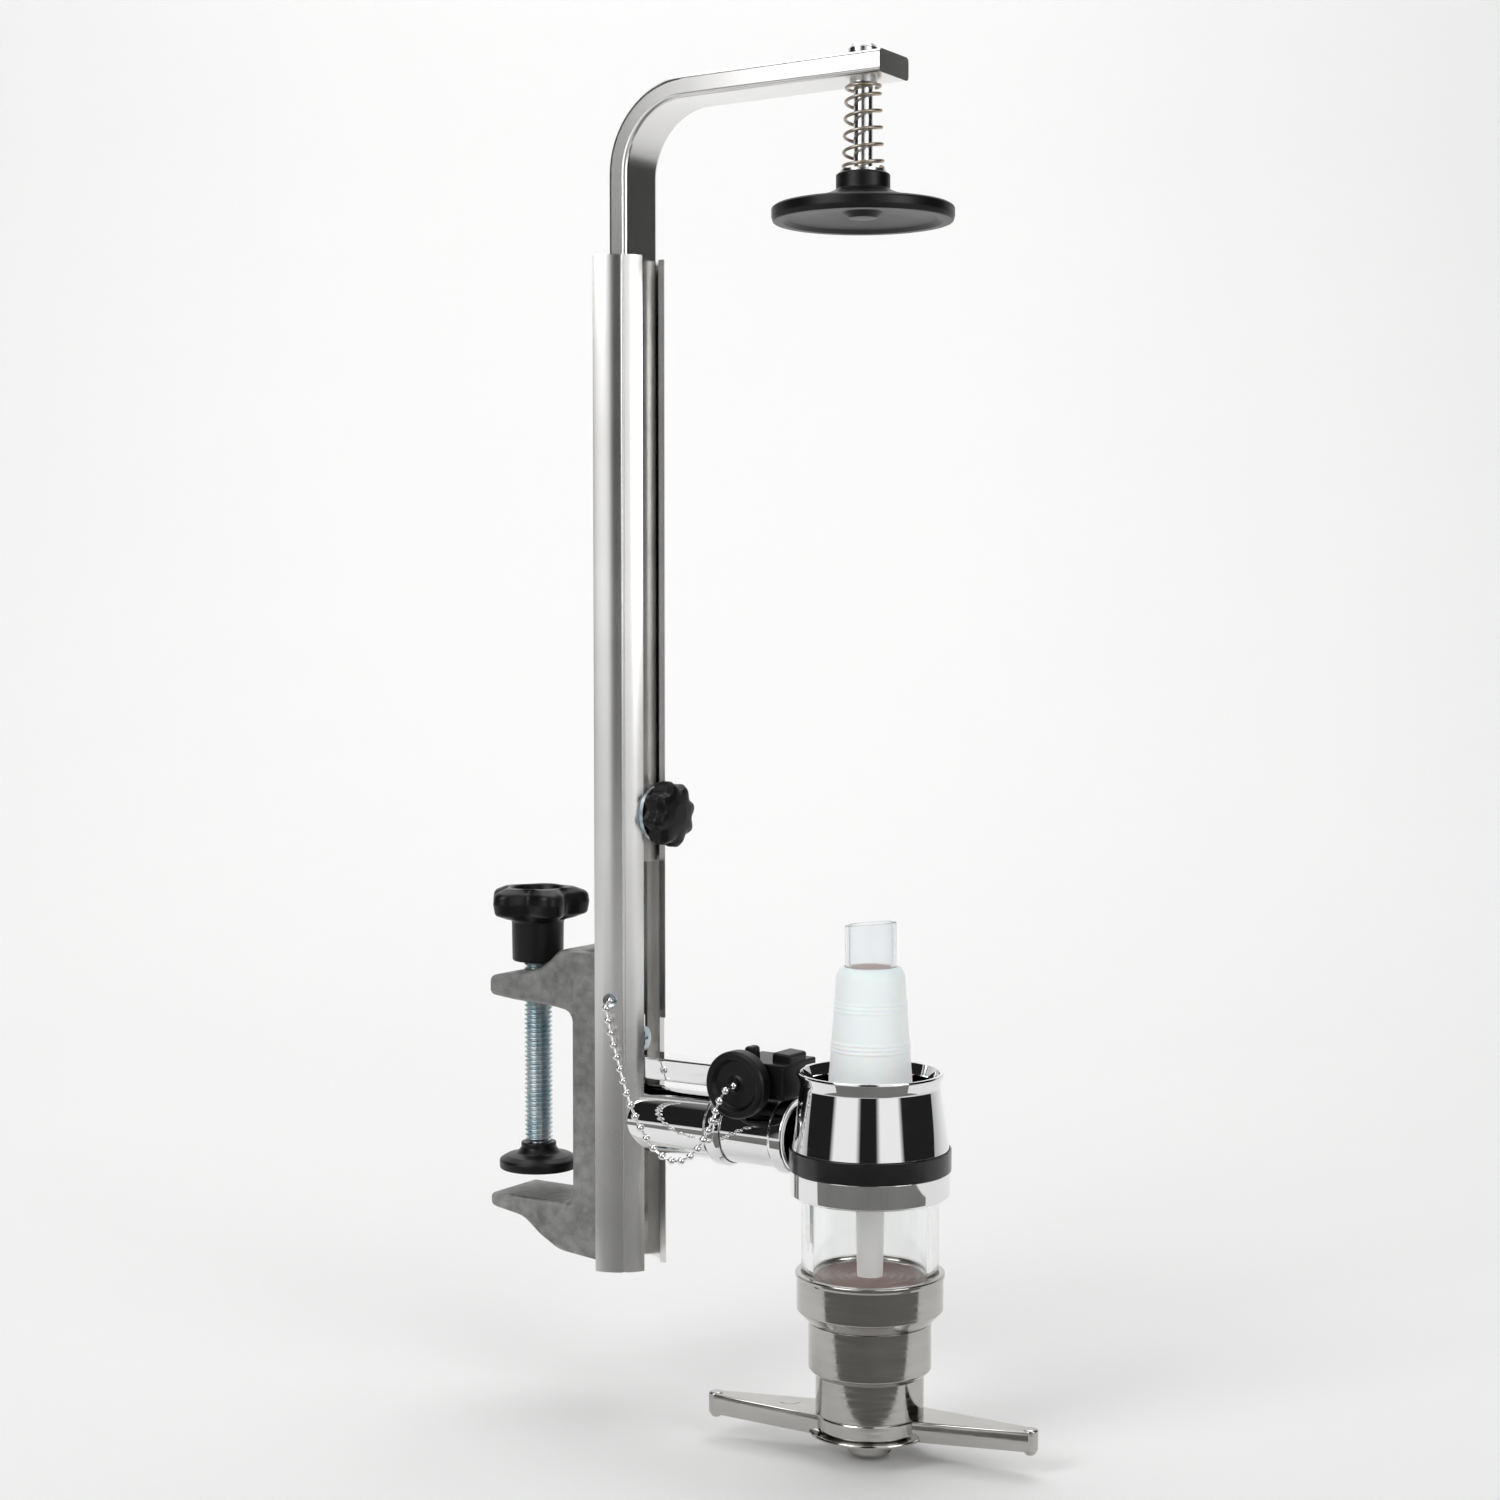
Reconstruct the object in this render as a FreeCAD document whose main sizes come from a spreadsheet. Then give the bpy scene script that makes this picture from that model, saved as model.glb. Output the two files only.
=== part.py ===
"""Bar bottle stand with a push-up spirit measure, as a FreeCAD macro.

A table clamp carries a half-round aluminium rail.  A bent arm slides in the rail and
presses the bottle down with a sprung plate.  At the rail's foot a chromed bar and tube
hold the measure, whose rubber cone goes into the neck of the upside-down bottle.

Millimetres, +Z up, +X from the rail to the measure.  The origin is on the clamp's lower
jaw, on the axis of the clamp spindle.
"""
import FreeCAD
import Part
import Sketcher
import math
import os

from FreeCAD import Vector

doc = FreeCAD.newDocument("bottle_stand")

# ---------------------------------------------------------------- driving dimensions
SIZES = {
    # rail: a half-round channel, open towards the measure
    "rail_back": 34.8, "rail_radius": 15.0, "rail_wall": 2.0, "rail_web": 1.8,
    "rail_slot": 12.4, "rail_bottom": -20.4, "rail_length": 334.2,
    "rail_flute": 0.6, "flute_angle": 51.0, "window_top": 62.5, "window_depth": 9.8,
    # clamp casting
    "clamp_width": 25.0, "jaw_front": -11.5, "spine_face": 23.1, "throat": 65.8,
    "jaw_tip": 4.7, "clamp_top": 86.0, "clamp_foot": -18.0, "casting_round": 1.2,
    # clamp spindle, handwheel and foot
    "spindle_radius": 4.8, "spindle_tip_radius": 3.4, "spindle_tip_length": 6.5,
    "foot_gap": 7.7, "foot_radius": 13.4, "foot_rim": 4.4, "foot_height": 9.0,
    "foot_hub_radius": 6.0, "wheel_bottom": 79.1, "wheel_hub_radius": 8.9,
    "wheel_hub_height": 15.0, "wheel_radius": 17.8, "wheel_grip": 10.6,
    "wheel_recess_radius": 8.4, "wheel_recess_depth": 3.0, "wheel_scallop": 7.0,
    # sliding arm
    "arm_width": 18.3, "arm_thick": 7.2, "arm_gap": 0.15, "arm_foot": 115.0,
    "arm_rise": 55.4, "arm_reach": 103.7, "arm_bend": 29.0, "arm_edge": 1.5,
    # rail knob
    "knob_height": 131.4, "knob_radius": 11.2, "knob_thick": 9.2, "knob_scallop": 3.2,
    "stud_radius": 3.0, "washer_thick": 1.3, "washer_radius": 9.0,
    # press plate
    "press_reach": 92.8, "rod_radius": 2.95, "rod_head_radius": 4.65, "rod_head": 3.6,
    "bush_radius": 4.35, "bush_flange": 1.0, "bush_shank_radius": 3.9,
    "plate_radius": 28.5, "plate_bottom": 318.6, "plate_rim": 4.8, "plate_hub_radius": 8.45,
    "plate_hub_top": 333.6, "plate_hub_foot": 328.2, "plate_dish_radius": 25.0,
    "plate_dish": 3.0, "spring_radius": 6.3, "spring_wire": 1.0,
    # holder bar and tube
    "bar_width": 12.0, "bar_thick": 5.0, "bar_deep": 7.3, "bar_top": 51.1, "bar_leg_top": 64.0,
    "bar_end": 85.6, "tube_axis": 29.9, "tube_radius": 11.0, "tube_wall": 1.5,
    "tube_end": 105.0, "collar_rise": 1.4, "collar_from": 75.0, "collar_to": 81.2,
    "clip_from": 99.9,
    # screws
    "screw_head_radius": 4.1, "screw_head": 2.6, "rail_screw_radius": 2.5,
    "rail_screw_low": -9.0, "rail_screw_high": 70.0, "bar_screw_height": 56.0,
    "bar_screw_radius": 2.0, "screw_bite": 7.5,
    # latch and its plug
    "latch_from": 81.7, "latch_to": 105.8, "latch_front": 11.4, "latch_back": 9.0,
    "latch_bottom": 41.2, "latch_top": 54.6, "latch_tab_top": 57.6, "latch_bump_top": 58.6,
    "plug_x": 91.2, "plug_z": 47.6, "plug_radius": 10.9, "plug_head": 6.0, "plug_gap": 0.6,
    "plug_pin_radius": 4.0, "plug_pin": 17.5, "plug_dish_radius": 7.6, "plug_dish": 1.6,
    # ball chain
    "chain_bead": 2.5, "chain_hole_radius": 2.3, "chain_hole_x": 5.4, "chain_hole_z": 70.2,
    "ferrule_shank": 2.5, "ferrule_flange": 0.7, "ferrule_flange_radius": 2.7,
    # spirit measure, heights from the clamp jaw, radii from its own axis
    "measure_reach": 96.2, "cup_wall": 1.4, "cup_rim_radius": 23.2, "cup_rim": 53.4,
    "cup_neck_radius": 22.0, "cup_neck": 49.6, "cup_base_radius": 24.9, "band_top": 29.3,
    "band_bottom": 22.4, "band_radius": 25.65, "band_seat_radius": 24.6,
    "band_collar_bottom": 14.3, "band_collar_radius": 25.2, "spigot_length": 12.0,
    "glass_radius": 21.7, "glass_wall": 3.6, "glass_bottom": -12.4, "glass_top": 20.0,
    "lid_top": 28.0, "seal_thick": 0.6, "lid_radius": 22.8,
    "cone_base_radius": 13.9, "cone_low_radius": 13.15, "cone_low": 51.2,
    "cone_top_radius": 10.8, "cone_top": 84.0, "cone_crown": 86.8, "cone_rib": 0.35,
    "cone_rib_low": 60.0, "cone_rib_high": 72.6, "cone_rib_pitch": 1.25,
    "neck_tube_radius": 8.1, "neck_tube_wall": 1.5, "neck_tube_top": 101.1,
    "neck_tube_slant": 5.5,
    "base_lip_radius": 23.7, "base_radius": 23.2, "base_top": -10.0, "base_lip": 1.2,
    "base_shoulder": -22.0, "base_bottom": -25.7, "base_floor": 3.4,
    "housing_radius": 19.45, "housing_bottom": -40.7, "housing_mouth": 1.7,
    "sleeve_radius": 17.15, "sleeve_wall": 1.5, "sleeve_bottom": -60.1, "sleeve_top": -33.0,
    "sleeve_floor": 1.8, "sleeve_groove": -55.0,
    "stem_radius": 3.0, "stem_top": 8.0, "stem_tube_radius": 4.6, "stem_tube_foot": 4.05,
    "return_radius": 12.0, "return_wire": 1.3,
    "lever_hub_radius": 19.6, "lever_sheet": 1.3, "lever_arm_height": 5.1,
    "lever_reach": 55.0, "lever_tip_radius": 2.5, "lever_root": 10.5, "lever_angle": 11.0,
    "dish_radius": 11.5, "dish": 2.4, "nut_radius": 7.0, "nut": 4.6, "nut_slot": 1.8,
    # clearances
    "running": 0.05,
}


class Size:
    """A length that knows its value and the spreadsheet formula that it comes from."""

    def __init__(self, value, formula):
        self.value = float(value)
        self.formula = formula

    @staticmethod
    def of(other):
        return other if isinstance(other, Size) else Size(other, repr(float(other)))

    def __add__(self, other):
        other = Size.of(other)
        return Size(self.value + other.value, f"({self.formula} + {other.formula})")

    def __sub__(self, other):
        other = Size.of(other)
        return Size(self.value - other.value, f"({self.formula} - {other.formula})")

    def __mul__(self, other):
        other = Size.of(other)
        return Size(self.value * other.value, f"({self.formula} * {other.formula})")

    def __truediv__(self, other):
        other = Size.of(other)
        return Size(self.value / other.value, f"({self.formula} / {other.formula})")

    def __neg__(self):
        return Size(-self.value, f"(-1 * {self.formula})")

    def __radd__(self, other):
        return Size.of(other) + self

    def __rsub__(self, other):
        return Size.of(other) - self

    def __rmul__(self, other):
        return Size.of(other) * self


class Sheet:
    """The spreadsheet's sizes as attributes, such as d.rail_radius."""

    def __init__(self, sizes):
        self.table = doc.addObject("Spreadsheet::Sheet", "Sizes")
        for row, (name, value) in enumerate(sizes.items(), start=1):
            self.table.set(f"A{row}", name)
            self.table.set(f"B{row}", str(value))
            self.table.setAlias(f"B{row}", name)
            setattr(self, name, Size(value, f"Sizes.{name}"))


d = Sheet(SIZES)
doc.recompute()

FINISHED = []
UP = Vector(0, 0, 1)
TURN_TO_X = FreeCAD.Rotation(Vector(0, 1, 0), 90)
TURN_TO_Y = FreeCAD.Rotation(Vector(1, 0, 0), -90)


# ---------------------------------------------------------------- helpers
def bind(thing, name, size):
    """Give a property its value, and its formula where it comes from the sheet."""
    size = Size.of(size)
    if "Sizes." in size.formula:
        thing.setExpression(name, size.formula)
    else:
        setattr(thing, name, size.value)


def place(thing, x=0, y=0, z=0, turn=None):
    """Put an object at a point, with an optional rotation."""
    where = [Size.of(value) for value in (x, y, z)]
    base = Vector(*[size.value for size in where])
    thing.Placement = FreeCAD.Placement(base, turn or FreeCAD.Rotation())
    for axis, size in zip("xyz", where):
        if "Sizes." in size.formula:
            thing.setExpression(f"Placement.Base.{axis}", size.formula)
    return thing


def finish(thing, label):
    """Name a finished piece, so that it is checked and written."""
    thing.Label = label
    FINISHED.append(thing)
    return thing


def rod(radius, length, x=0, y=0, z=0, turn=None):
    """A plain cylinder from a point, along +Z or turned to another axis."""
    thing = doc.addObject("Part::Cylinder", "rod")
    bind(thing, "Radius", radius)
    bind(thing, "Height", length)
    return place(thing, x, y, z, turn)


def block(low, high, turn=None):
    """A box between its lowest and highest corners."""
    thing = doc.addObject("Part::Box", "block")
    low = [Size.of(value) for value in low]
    high = [Size.of(value) for value in high]
    for name, a, b in zip(("Length", "Width", "Height"), low, high):
        bind(thing, name, b - a)
    return place(thing, *low, turn)


def cut(base, *tools):
    """The base with each tool taken away."""
    for tool in tools:
        thing = doc.addObject("Part::Cut", "cut")
        thing.Base = base
        thing.Tool = tool
        base = thing
    return base


def fuse(*shapes):
    """Several overlapping shapes as one solid."""
    thing = doc.addObject("Part::MultiFuse", "fuse")
    thing.Shapes = list(shapes)
    thing.Refine = True
    return thing


def group(*shapes):
    """Separate solids of one kind in one node."""
    thing = doc.addObject("Part::Compound", "group")
    thing.Links = list(shapes)
    return thing


def new_body(name):
    return doc.addObject("PartDesign::Body", name)


def plane_of(body, role):
    """One of a body's own origin planes or axes."""
    for feature in body.Origin.OriginFeatures:
        if feature.Role == role:
            return feature
    raise RuntimeError(f"no {role} in {body.Name}")


def sketch_on(body, role, offset=0):
    """An empty sketch on one of a body's origin planes, moved along its normal."""
    sketch = body.newObject("Sketcher::SketchObject", "profile")
    sketch.AttachmentSupport = [(plane_of(body, role), "")]
    sketch.MapMode = "FlatFace"
    offset = Size.of(offset)
    if "Sizes." in offset.formula:
        sketch.setExpression("AttachmentOffset.Base.z", offset.formula)
    else:
        sketch.AttachmentOffset = FreeCAD.Placement(Vector(0, 0, offset.value),
                                                    FreeCAD.Rotation())
    return sketch


def outline(sketch, points):
    """A closed run of straight lines whose corners are bound to the sheet."""
    points = [(Size.of(a), Size.of(b)) for a, b in points]
    count = len(points)
    for i, (a, b) in enumerate(points):
        c, e = points[(i + 1) % count]
        sketch.addGeometry(Part.LineSegment(Vector(a.value, b.value, 0),
                                            Vector(c.value, e.value, 0)), False)
    for i in range(count):
        sketch.addConstraint(Sketcher.Constraint("Coincident", i, 2, (i + 1) % count, 1))
    for i, (a, b) in enumerate(points):
        for kind, size in (("DistanceX", a), ("DistanceY", b)):
            n = sketch.addConstraint(Sketcher.Constraint(kind, -1, 1, i, 1, size.value))
            if "Sizes." in size.formula:
                sketch.setExpression(f"Constraints[{n}]", size.formula)
    return sketch


def circle(sketch, radius, x=0, y=0):
    """A circle in a sketch, bound to the sheet."""
    radius, x, y = Size.of(radius), Size.of(x), Size.of(y)
    n = sketch.addGeometry(Part.Circle(Vector(x.value, y.value, 0), UP, radius.value), False)
    for kind, size in (("DistanceX", x), ("DistanceY", y)):
        k = sketch.addConstraint(Sketcher.Constraint(kind, -1, 1, n, 3, size.value))
        if "Sizes." in size.formula:
            sketch.setExpression(f"Constraints[{k}]", size.formula)
    k = sketch.addConstraint(Sketcher.Constraint("Radius", n, radius.value))
    if "Sizes." in radius.formula:
        sketch.setExpression(f"Constraints[{k}]", radius.formula)
    return sketch


def turned(name, points):
    """A solid of revolution about its own Z axis, from (radius, height) corners."""
    body = new_body(name)
    sketch = outline(sketch_on(body, "XZ_Plane"), points)
    feature = body.newObject("PartDesign::Revolution", "revolution")
    feature.Profile = sketch
    feature.ReferenceAxis = (sketch, ["V_Axis"])
    feature.Angle = 360
    return body


def ring(name, inner, outer, low, high):
    """A plain ring about its own Z axis."""
    return turned(name, [(inner, low), (outer, low), (outer, high), (inner, high)])


def padded(name, role, points, length, offset=0, both_ways=False):
    """A prism from an outline on one of the origin planes."""
    body = new_body(name)
    sketch = outline(sketch_on(body, role, offset), points)
    feature = body.newObject("PartDesign::Pad", "pad")
    feature.Profile = sketch
    bind(feature, "Length", length)
    feature.SideType = "Symmetric" if both_ways else "One side"
    return body


def round_edges(body, radius, wanted):
    """Fillet the edges of a body's last feature that a test picks."""
    doc.recompute()
    tip = body.Tip
    names = [f"Edge{i}" for i, edge in enumerate(tip.Shape.Edges, start=1) if wanted(edge)]
    if not names:
        raise RuntimeError(f"no edge to round on {body.Name}")
    feature = body.newObject("PartDesign::Fillet", "fillet")
    feature.Base = (tip, names)
    bind(feature, "Radius", radius)
    return feature


def edge_at(x, z, reach=0.4):
    """A test for an edge along Y through a point of the XZ plane."""
    x, z = Size.of(x).value, Size.of(z).value

    def wanted(edge):
        box = edge.BoundBox
        across = max(box.XLength, box.ZLength)
        near = abs(box.Center.x - x) < reach and abs(box.Center.z - z) < reach
        return near and across < 0.01 and box.YLength > 1
    return wanted


def coil(name, radius, wire, low, high, turns):
    """A round wire wound about its own Z axis."""
    body = new_body(name)
    sketch = circle(sketch_on(body, "XZ_Plane"), wire / 2, radius, low + wire / 2)
    feature = body.newObject("PartDesign::AdditiveHelix", "helix")
    feature.Profile = sketch
    feature.ReferenceAxis = (sketch, ["V_Axis"])
    feature.Mode = "height-turns-angle"
    bind(feature, "Height", high - low - wire)
    feature.Turns = turns
    return body


def scalloped(name, radius, scallop, lobes, low, high, edge):
    """A star grip: a disc with round hollows between its lobes."""
    body = new_body(name)
    pad = body.newObject("PartDesign::Pad", "pad")
    pad.Profile = circle(sketch_on(body, "XY_Plane", low), radius)
    bind(pad, "Length", high - low)
    pocket = body.newObject("PartDesign::Pocket", "pocket")
    hollow = circle(sketch_on(body, "XY_Plane", low), scallop, radius + scallop * 0.45)
    pocket.Profile = hollow
    pocket.Type = "ThroughAll"
    pocket.Reversed = True
    pattern = body.newObject("PartDesign::PolarPattern", "lobes")
    pattern.Originals = [pocket]
    pattern.Axis = (plane_of(body, "Z_Axis"), [""])
    pattern.Angle = 360
    pattern.Occurrences = lobes
    body.Tip = pattern
    round_edges(body, edge, lambda e: e.BoundBox.ZLength < 0.01)
    return body


# ---------------------------------------------------------------- rail and clamp
rail_axis_gap = d.rail_radius - d.rail_wall
rail_top = d.rail_bottom + d.rail_length
arm_top = rail_top + d.arm_rise
measure_x = d.rail_back + d.measure_reach
press_x = d.rail_back + d.press_reach


def make_rail():
    """Half-round channel with a slot, flutes, and holes for the tube, chain and screws."""
    out = rod(d.rail_radius, d.rail_length, d.rail_back, 0, d.rail_bottom)
    front = block((d.rail_back, -d.rail_radius - 1, d.rail_bottom - 1),
                  (d.rail_back + d.rail_radius + 1, d.rail_radius + 1, rail_top + 1))
    half = doc.addObject("Part::Common", "half_round")
    half.Base = out
    half.Tool = front
    hollow_rod = rod(rail_axis_gap, d.rail_length + 2, d.rail_back, 0, d.rail_bottom - 1)
    hollow_box = block((d.rail_back + d.rail_web, -d.rail_radius, d.rail_bottom - 2),
                       (d.rail_back + d.rail_radius + 1, d.rail_radius, rail_top + 2))
    hollow = doc.addObject("Part::Common", "channel")
    hollow.Base = hollow_rod
    hollow.Tool = hollow_box
    slot = block((d.rail_back + 5, -d.rail_slot / 2, d.rail_bottom - 1),
                 (d.rail_back + d.rail_radius + 1, d.rail_slot / 2, rail_top + 1))
    tools = [hollow, slot]
    angle = math.radians(d.flute_angle.value)
    for side in (-1, 1):
        x = d.rail_back + (d.rail_radius + 0.1) * math.cos(angle)
        y = (d.rail_radius + 0.1) * (side * math.sin(angle))
        tools.append(rod(d.rail_flute, d.rail_length + 2, x, y, d.rail_bottom - 1))
    tools.append(rod(d.tube_radius + d.running, d.rail_radius + 2,
                     d.rail_back + d.rail_web, 0, d.tube_axis, TURN_TO_X))
    tools.append(block((d.rail_back + d.window_depth, 0, d.tube_axis),
                       (d.rail_back + d.rail_radius + 1, d.rail_radius, d.window_top)))
    tools.append(rod(d.chain_hole_radius, 8, d.rail_back + d.chain_hole_x,
                     -d.rail_radius - 1, d.chain_hole_z, TURN_TO_Y))
    for height, radius in ((d.rail_screw_low, d.rail_screw_radius),
                           (d.rail_screw_high, d.rail_screw_radius),
                           (d.bar_screw_height, d.bar_screw_radius)):
        tools.append(rod(radius + d.running, d.rail_web + 2, d.rail_back - 1, 0, height,
                         TURN_TO_X))
    finish(cut(half, *tools), "rail")


def make_clamp_frame():
    """The cast C-frame, with the spindle's thread hole and the holes for the screws."""
    back = d.rail_back
    top_of_gap = d.throat
    points = [
        (d.jaw_front, 0), (d.spine_face, 0), (d.spine_face, top_of_gap - 1.2),
        (d.spine_face - 7, top_of_gap), (d.jaw_front, top_of_gap + 2.2),
        (d.jaw_front, top_of_gap + 8.6), (4, top_of_gap + 11.0), (10, top_of_gap + 12.6),
        (14, top_of_gap + 15.6), (17.6, d.clamp_top - 1.0), (22, d.clamp_top),
        (back, d.clamp_top), (back, d.clamp_foot), (17.2, d.clamp_foot + 1.6),
        (9, -12.0), (2.5, -d.jaw_tip - 2.2), (d.jaw_front, -d.jaw_tip)]
    body = padded("casting", "XZ_Plane", points, d.clamp_width, 0, True)
    round_edges(body, 4, edge_at(d.spine_face, d.throat - 1.2))
    round_edges(body, 2.5, edge_at(d.spine_face, 0))
    round_edges(body, 2, lambda e: edge_at(d.jaw_front, top_of_gap + 2.2)(e)
                or edge_at(d.jaw_front, top_of_gap + 8.6)(e)
                or edge_at(d.jaw_front, -d.jaw_tip)(e))
    face = d.clamp_width.value / 2
    back_x = back.value

    def rim(edge):
        box = edge.BoundBox
        on_face = abs(abs(box.Center.y) - face) < 0.01 and box.YLength < 0.01
        return on_face and box.XMin < back_x - 0.1
    round_edges(body, d.casting_round, rim)
    tools = [rod(d.spindle_radius + d.running, 40, 0, 0, d.throat - 10)]
    for height, radius in ((d.rail_screw_low, d.rail_screw_radius),
                           (d.rail_screw_high, d.rail_screw_radius),
                           (d.bar_screw_height, d.bar_screw_radius)):
        tools.append(rod(radius + d.running, d.screw_bite + 1.5,
                         back - d.screw_bite - 0.5, 0, height, TURN_TO_X))
    finish(cut(body, *tools), "clamp_frame")


def screw(radius, head_x, height, length):
    """A pan-head screw along X, with its head towards +X and a cross recess."""
    head = rod(d.screw_head_radius, d.screw_head, head_x, 0, height, TURN_TO_X)
    shank = rod(radius, length, head_x - length, 0, height, TURN_TO_X)
    whole = fuse(head, shank)
    slots = []
    for wide, tall in ((2.4, 0.5), (0.5, 2.4)):
        slots.append(block((head_x + d.screw_head - 1.3, -wide, height - tall),
                           (head_x + d.screw_head + 1, wide, height + tall)))
    return cut(whole, *slots)


def make_screws():
    web_front = d.rail_back + d.rail_web
    length = d.rail_web + d.screw_bite
    pair = [screw(d.rail_screw_radius, web_front, height, length)
            for height in (d.rail_screw_low, d.rail_screw_high)]
    finish(group(*pair), "rail_screws")
    bar_front = web_front + d.bar_thick
    finish(screw(d.bar_screw_radius, bar_front, d.bar_screw_height,
                 length + d.bar_thick), "holder_screw")


# ---------------------------------------------------------------- clamp spindle
def make_foot():
    """Swivelling clamp foot: a flanged cup that holds the spindle's tip."""
    low = d.foot_gap
    high = low + d.foot_height
    bore = d.spindle_tip_radius + d.running
    points = [(0, low), (d.foot_radius - 1, low), (d.foot_radius, low + 1),
              (d.foot_radius, low + d.foot_rim - 1.4), (d.foot_radius - 1.4, low + d.foot_rim),
              (d.foot_hub_radius + 1.6, low + d.foot_rim + 1.2),
              (d.foot_hub_radius, low + d.foot_rim + 2.8), (d.foot_hub_radius, high),
              (bore, high), (bore, high - d.spindle_tip_length), (0, high - d.spindle_tip_length)]
    finish(turned("clamp_foot", points), "clamp_foot")


def make_spindle():
    """Threaded spindle, drawn at its outer diameter, with a plain tip in the foot."""
    low = d.foot_gap + d.foot_height - d.spindle_tip_length + d.running
    shoulder = d.foot_gap + d.foot_height + d.running
    top = d.wheel_bottom + d.wheel_hub_height - 2
    points = [(0, low), (d.spindle_tip_radius, low), (d.spindle_tip_radius, shoulder),
              (d.spindle_radius - 0.9, shoulder), (d.spindle_radius, shoulder + 0.9),
              (d.spindle_radius, top), (0, top)]
    finish(turned("clamp_spindle", points), "clamp_spindle")


def make_handwheel():
    """Moulded star handwheel: a round hub under a five-lobed grip."""
    grip_low = d.wheel_bottom + d.wheel_hub_height - 0.2
    grip_high = grip_low + d.wheel_grip
    grip = scalloped("grip", d.wheel_radius, d.wheel_scallop, 5, grip_low, grip_high, 1.6)
    hub = rod(d.wheel_hub_radius, d.wheel_hub_height + 1, 0, 0, d.wheel_bottom)
    recess = rod(d.wheel_recess_radius, d.wheel_recess_depth + 1, 0, 0,
                 grip_high - d.wheel_recess_depth)
    socket = rod(d.spindle_radius + d.running, d.wheel_hub_height - 1, 0, 0,
                 d.wheel_bottom - 1)
    finish(cut(fuse(hub, grip), recess, socket), "handwheel")


# ---------------------------------------------------------------- sliding arm
arm_back = d.rail_back + d.rail_web + d.arm_gap
arm_front = arm_back + d.arm_thick
arm_under = arm_top - d.arm_thick


def make_arm():
    """Flat bar bent once, with rounded edges, a stud hole and the press rod's hole."""
    tip = d.rail_back + d.arm_reach
    points = [(arm_back, d.arm_foot), (arm_front, d.arm_foot), (arm_front, arm_under),
              (tip, arm_under), (tip, arm_top), (arm_back, arm_top)]
    body = padded("bent_arm", "XZ_Plane", points, d.arm_width, 0, True)
    round_edges(body, d.arm_bend, edge_at(arm_back, arm_top))
    round_edges(body, d.arm_bend - d.arm_thick, edge_at(arm_front, arm_under))
    side = d.arm_width.value / 2

    def long_edge(edge):
        box = edge.BoundBox
        on_side = abs(abs(box.Center.y) - side) < 0.01 and box.YLength < 0.01
        return on_side and edge.Length > d.arm_thick.value + 1
    round_edges(body, d.arm_edge, long_edge)
    stud_hole = rod(d.stud_radius + d.running, d.arm_thick + 4, arm_back - 2, 0,
                    d.knob_height, TURN_TO_X)
    bush_hole = rod(d.bush_shank_radius, d.arm_thick + 4, press_x, 0, arm_under - 2)
    finish(cut(body, stud_hole, bush_hole), "arm_bar")


def make_press_bush():
    """Flanged bush that guides the press rod through the arm."""
    low = arm_under - d.bush_flange
    bore = d.rod_radius + d.running
    points = [(bore, low), (d.bush_radius, low), (d.bush_radius, arm_under),
              (d.bush_shank_radius, arm_under), (d.bush_shank_radius, arm_top),
              (bore, arm_top)]
    finish(place(turned("press_bush", points), press_x), "press_bush")


def make_rail_knob():
    """Star knob, its stud and the washer that bears on the rail's lips."""
    lip_front = d.rail_back + d.rail_radius * 0.9105 + d.running * 4
    washer = rod(d.washer_radius, d.washer_thick, lip_front, 0, d.knob_height, TURN_TO_X)
    hole = rod(d.stud_radius + d.running, d.washer_thick + 2, lip_front - 1, 0,
               d.knob_height, TURN_TO_X)
    finish(cut(washer, hole), "knob_washer")
    knob_back = lip_front + d.washer_thick + d.running
    star = scalloped("star", d.knob_radius, d.knob_scallop, 7, 0, d.knob_thick, 1.5)
    place(star, knob_back, 0, d.knob_height, TURN_TO_X)
    socket = rod(d.stud_radius + d.running, d.knob_thick - 3, knob_back - 1, 0,
                 d.knob_height, TURN_TO_X)
    finish(cut(star, socket), "rail_knob")
    stud_end = arm_back + 0.5
    finish(rod(d.stud_radius, knob_back + d.knob_thick - 4.2 - stud_end, stud_end, 0,
               d.knob_height, TURN_TO_X), "knob_stud")


# ---------------------------------------------------------------- press plate
def make_press_rod():
    """Headed rod that slides in the bush and carries the plate."""
    head_low = arm_top + d.running * 4
    head_high = head_low + d.rod_head
    foot = d.plate_bottom + d.plate_dish - 1.6
    points = [(0, foot), (d.rod_radius, foot), (d.rod_radius, head_low),
              (d.rod_head_radius, head_low), (d.rod_head_radius, head_high - 0.8),
              (d.rod_head_radius - 0.8, head_high), (0, head_high)]
    finish(place(turned("press_rod", points), press_x), "press_rod")


def make_press_plate():
    """Moulded round plate with a hub above and a shallow dish below."""
    low = d.plate_bottom
    bore = d.rod_radius + d.running
    points = [(bore, low + d.plate_dish), (d.rod_radius + 3.2, low + d.plate_dish),
              (d.plate_dish_radius - 2, low + 1.2),
              (d.plate_dish_radius, low), (d.plate_radius - 0.7, low),
              (d.plate_radius, low + 0.7), (d.plate_radius, low + d.plate_rim - 0.7),
              (d.plate_radius - 0.7, low + d.plate_rim),
              (d.plate_radius - 3.2, low + d.plate_rim),
              (d.plate_hub_radius + 3.2, d.plate_hub_foot - 1.4),
              (d.plate_hub_radius, d.plate_hub_foot),
              (d.plate_hub_radius, d.plate_hub_top - 0.8),
              (d.plate_hub_radius - 0.8, d.plate_hub_top), (bore, d.plate_hub_top)]
    finish(place(turned("press_plate", points), press_x), "press_plate")
    clip_top = low + d.plate_dish - d.running
    clip = ring("rod_clip", d.rod_radius, d.rod_radius + 2.4, clip_top - 0.9, clip_top)
    finish(place(clip, press_x), "rod_clip")


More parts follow.
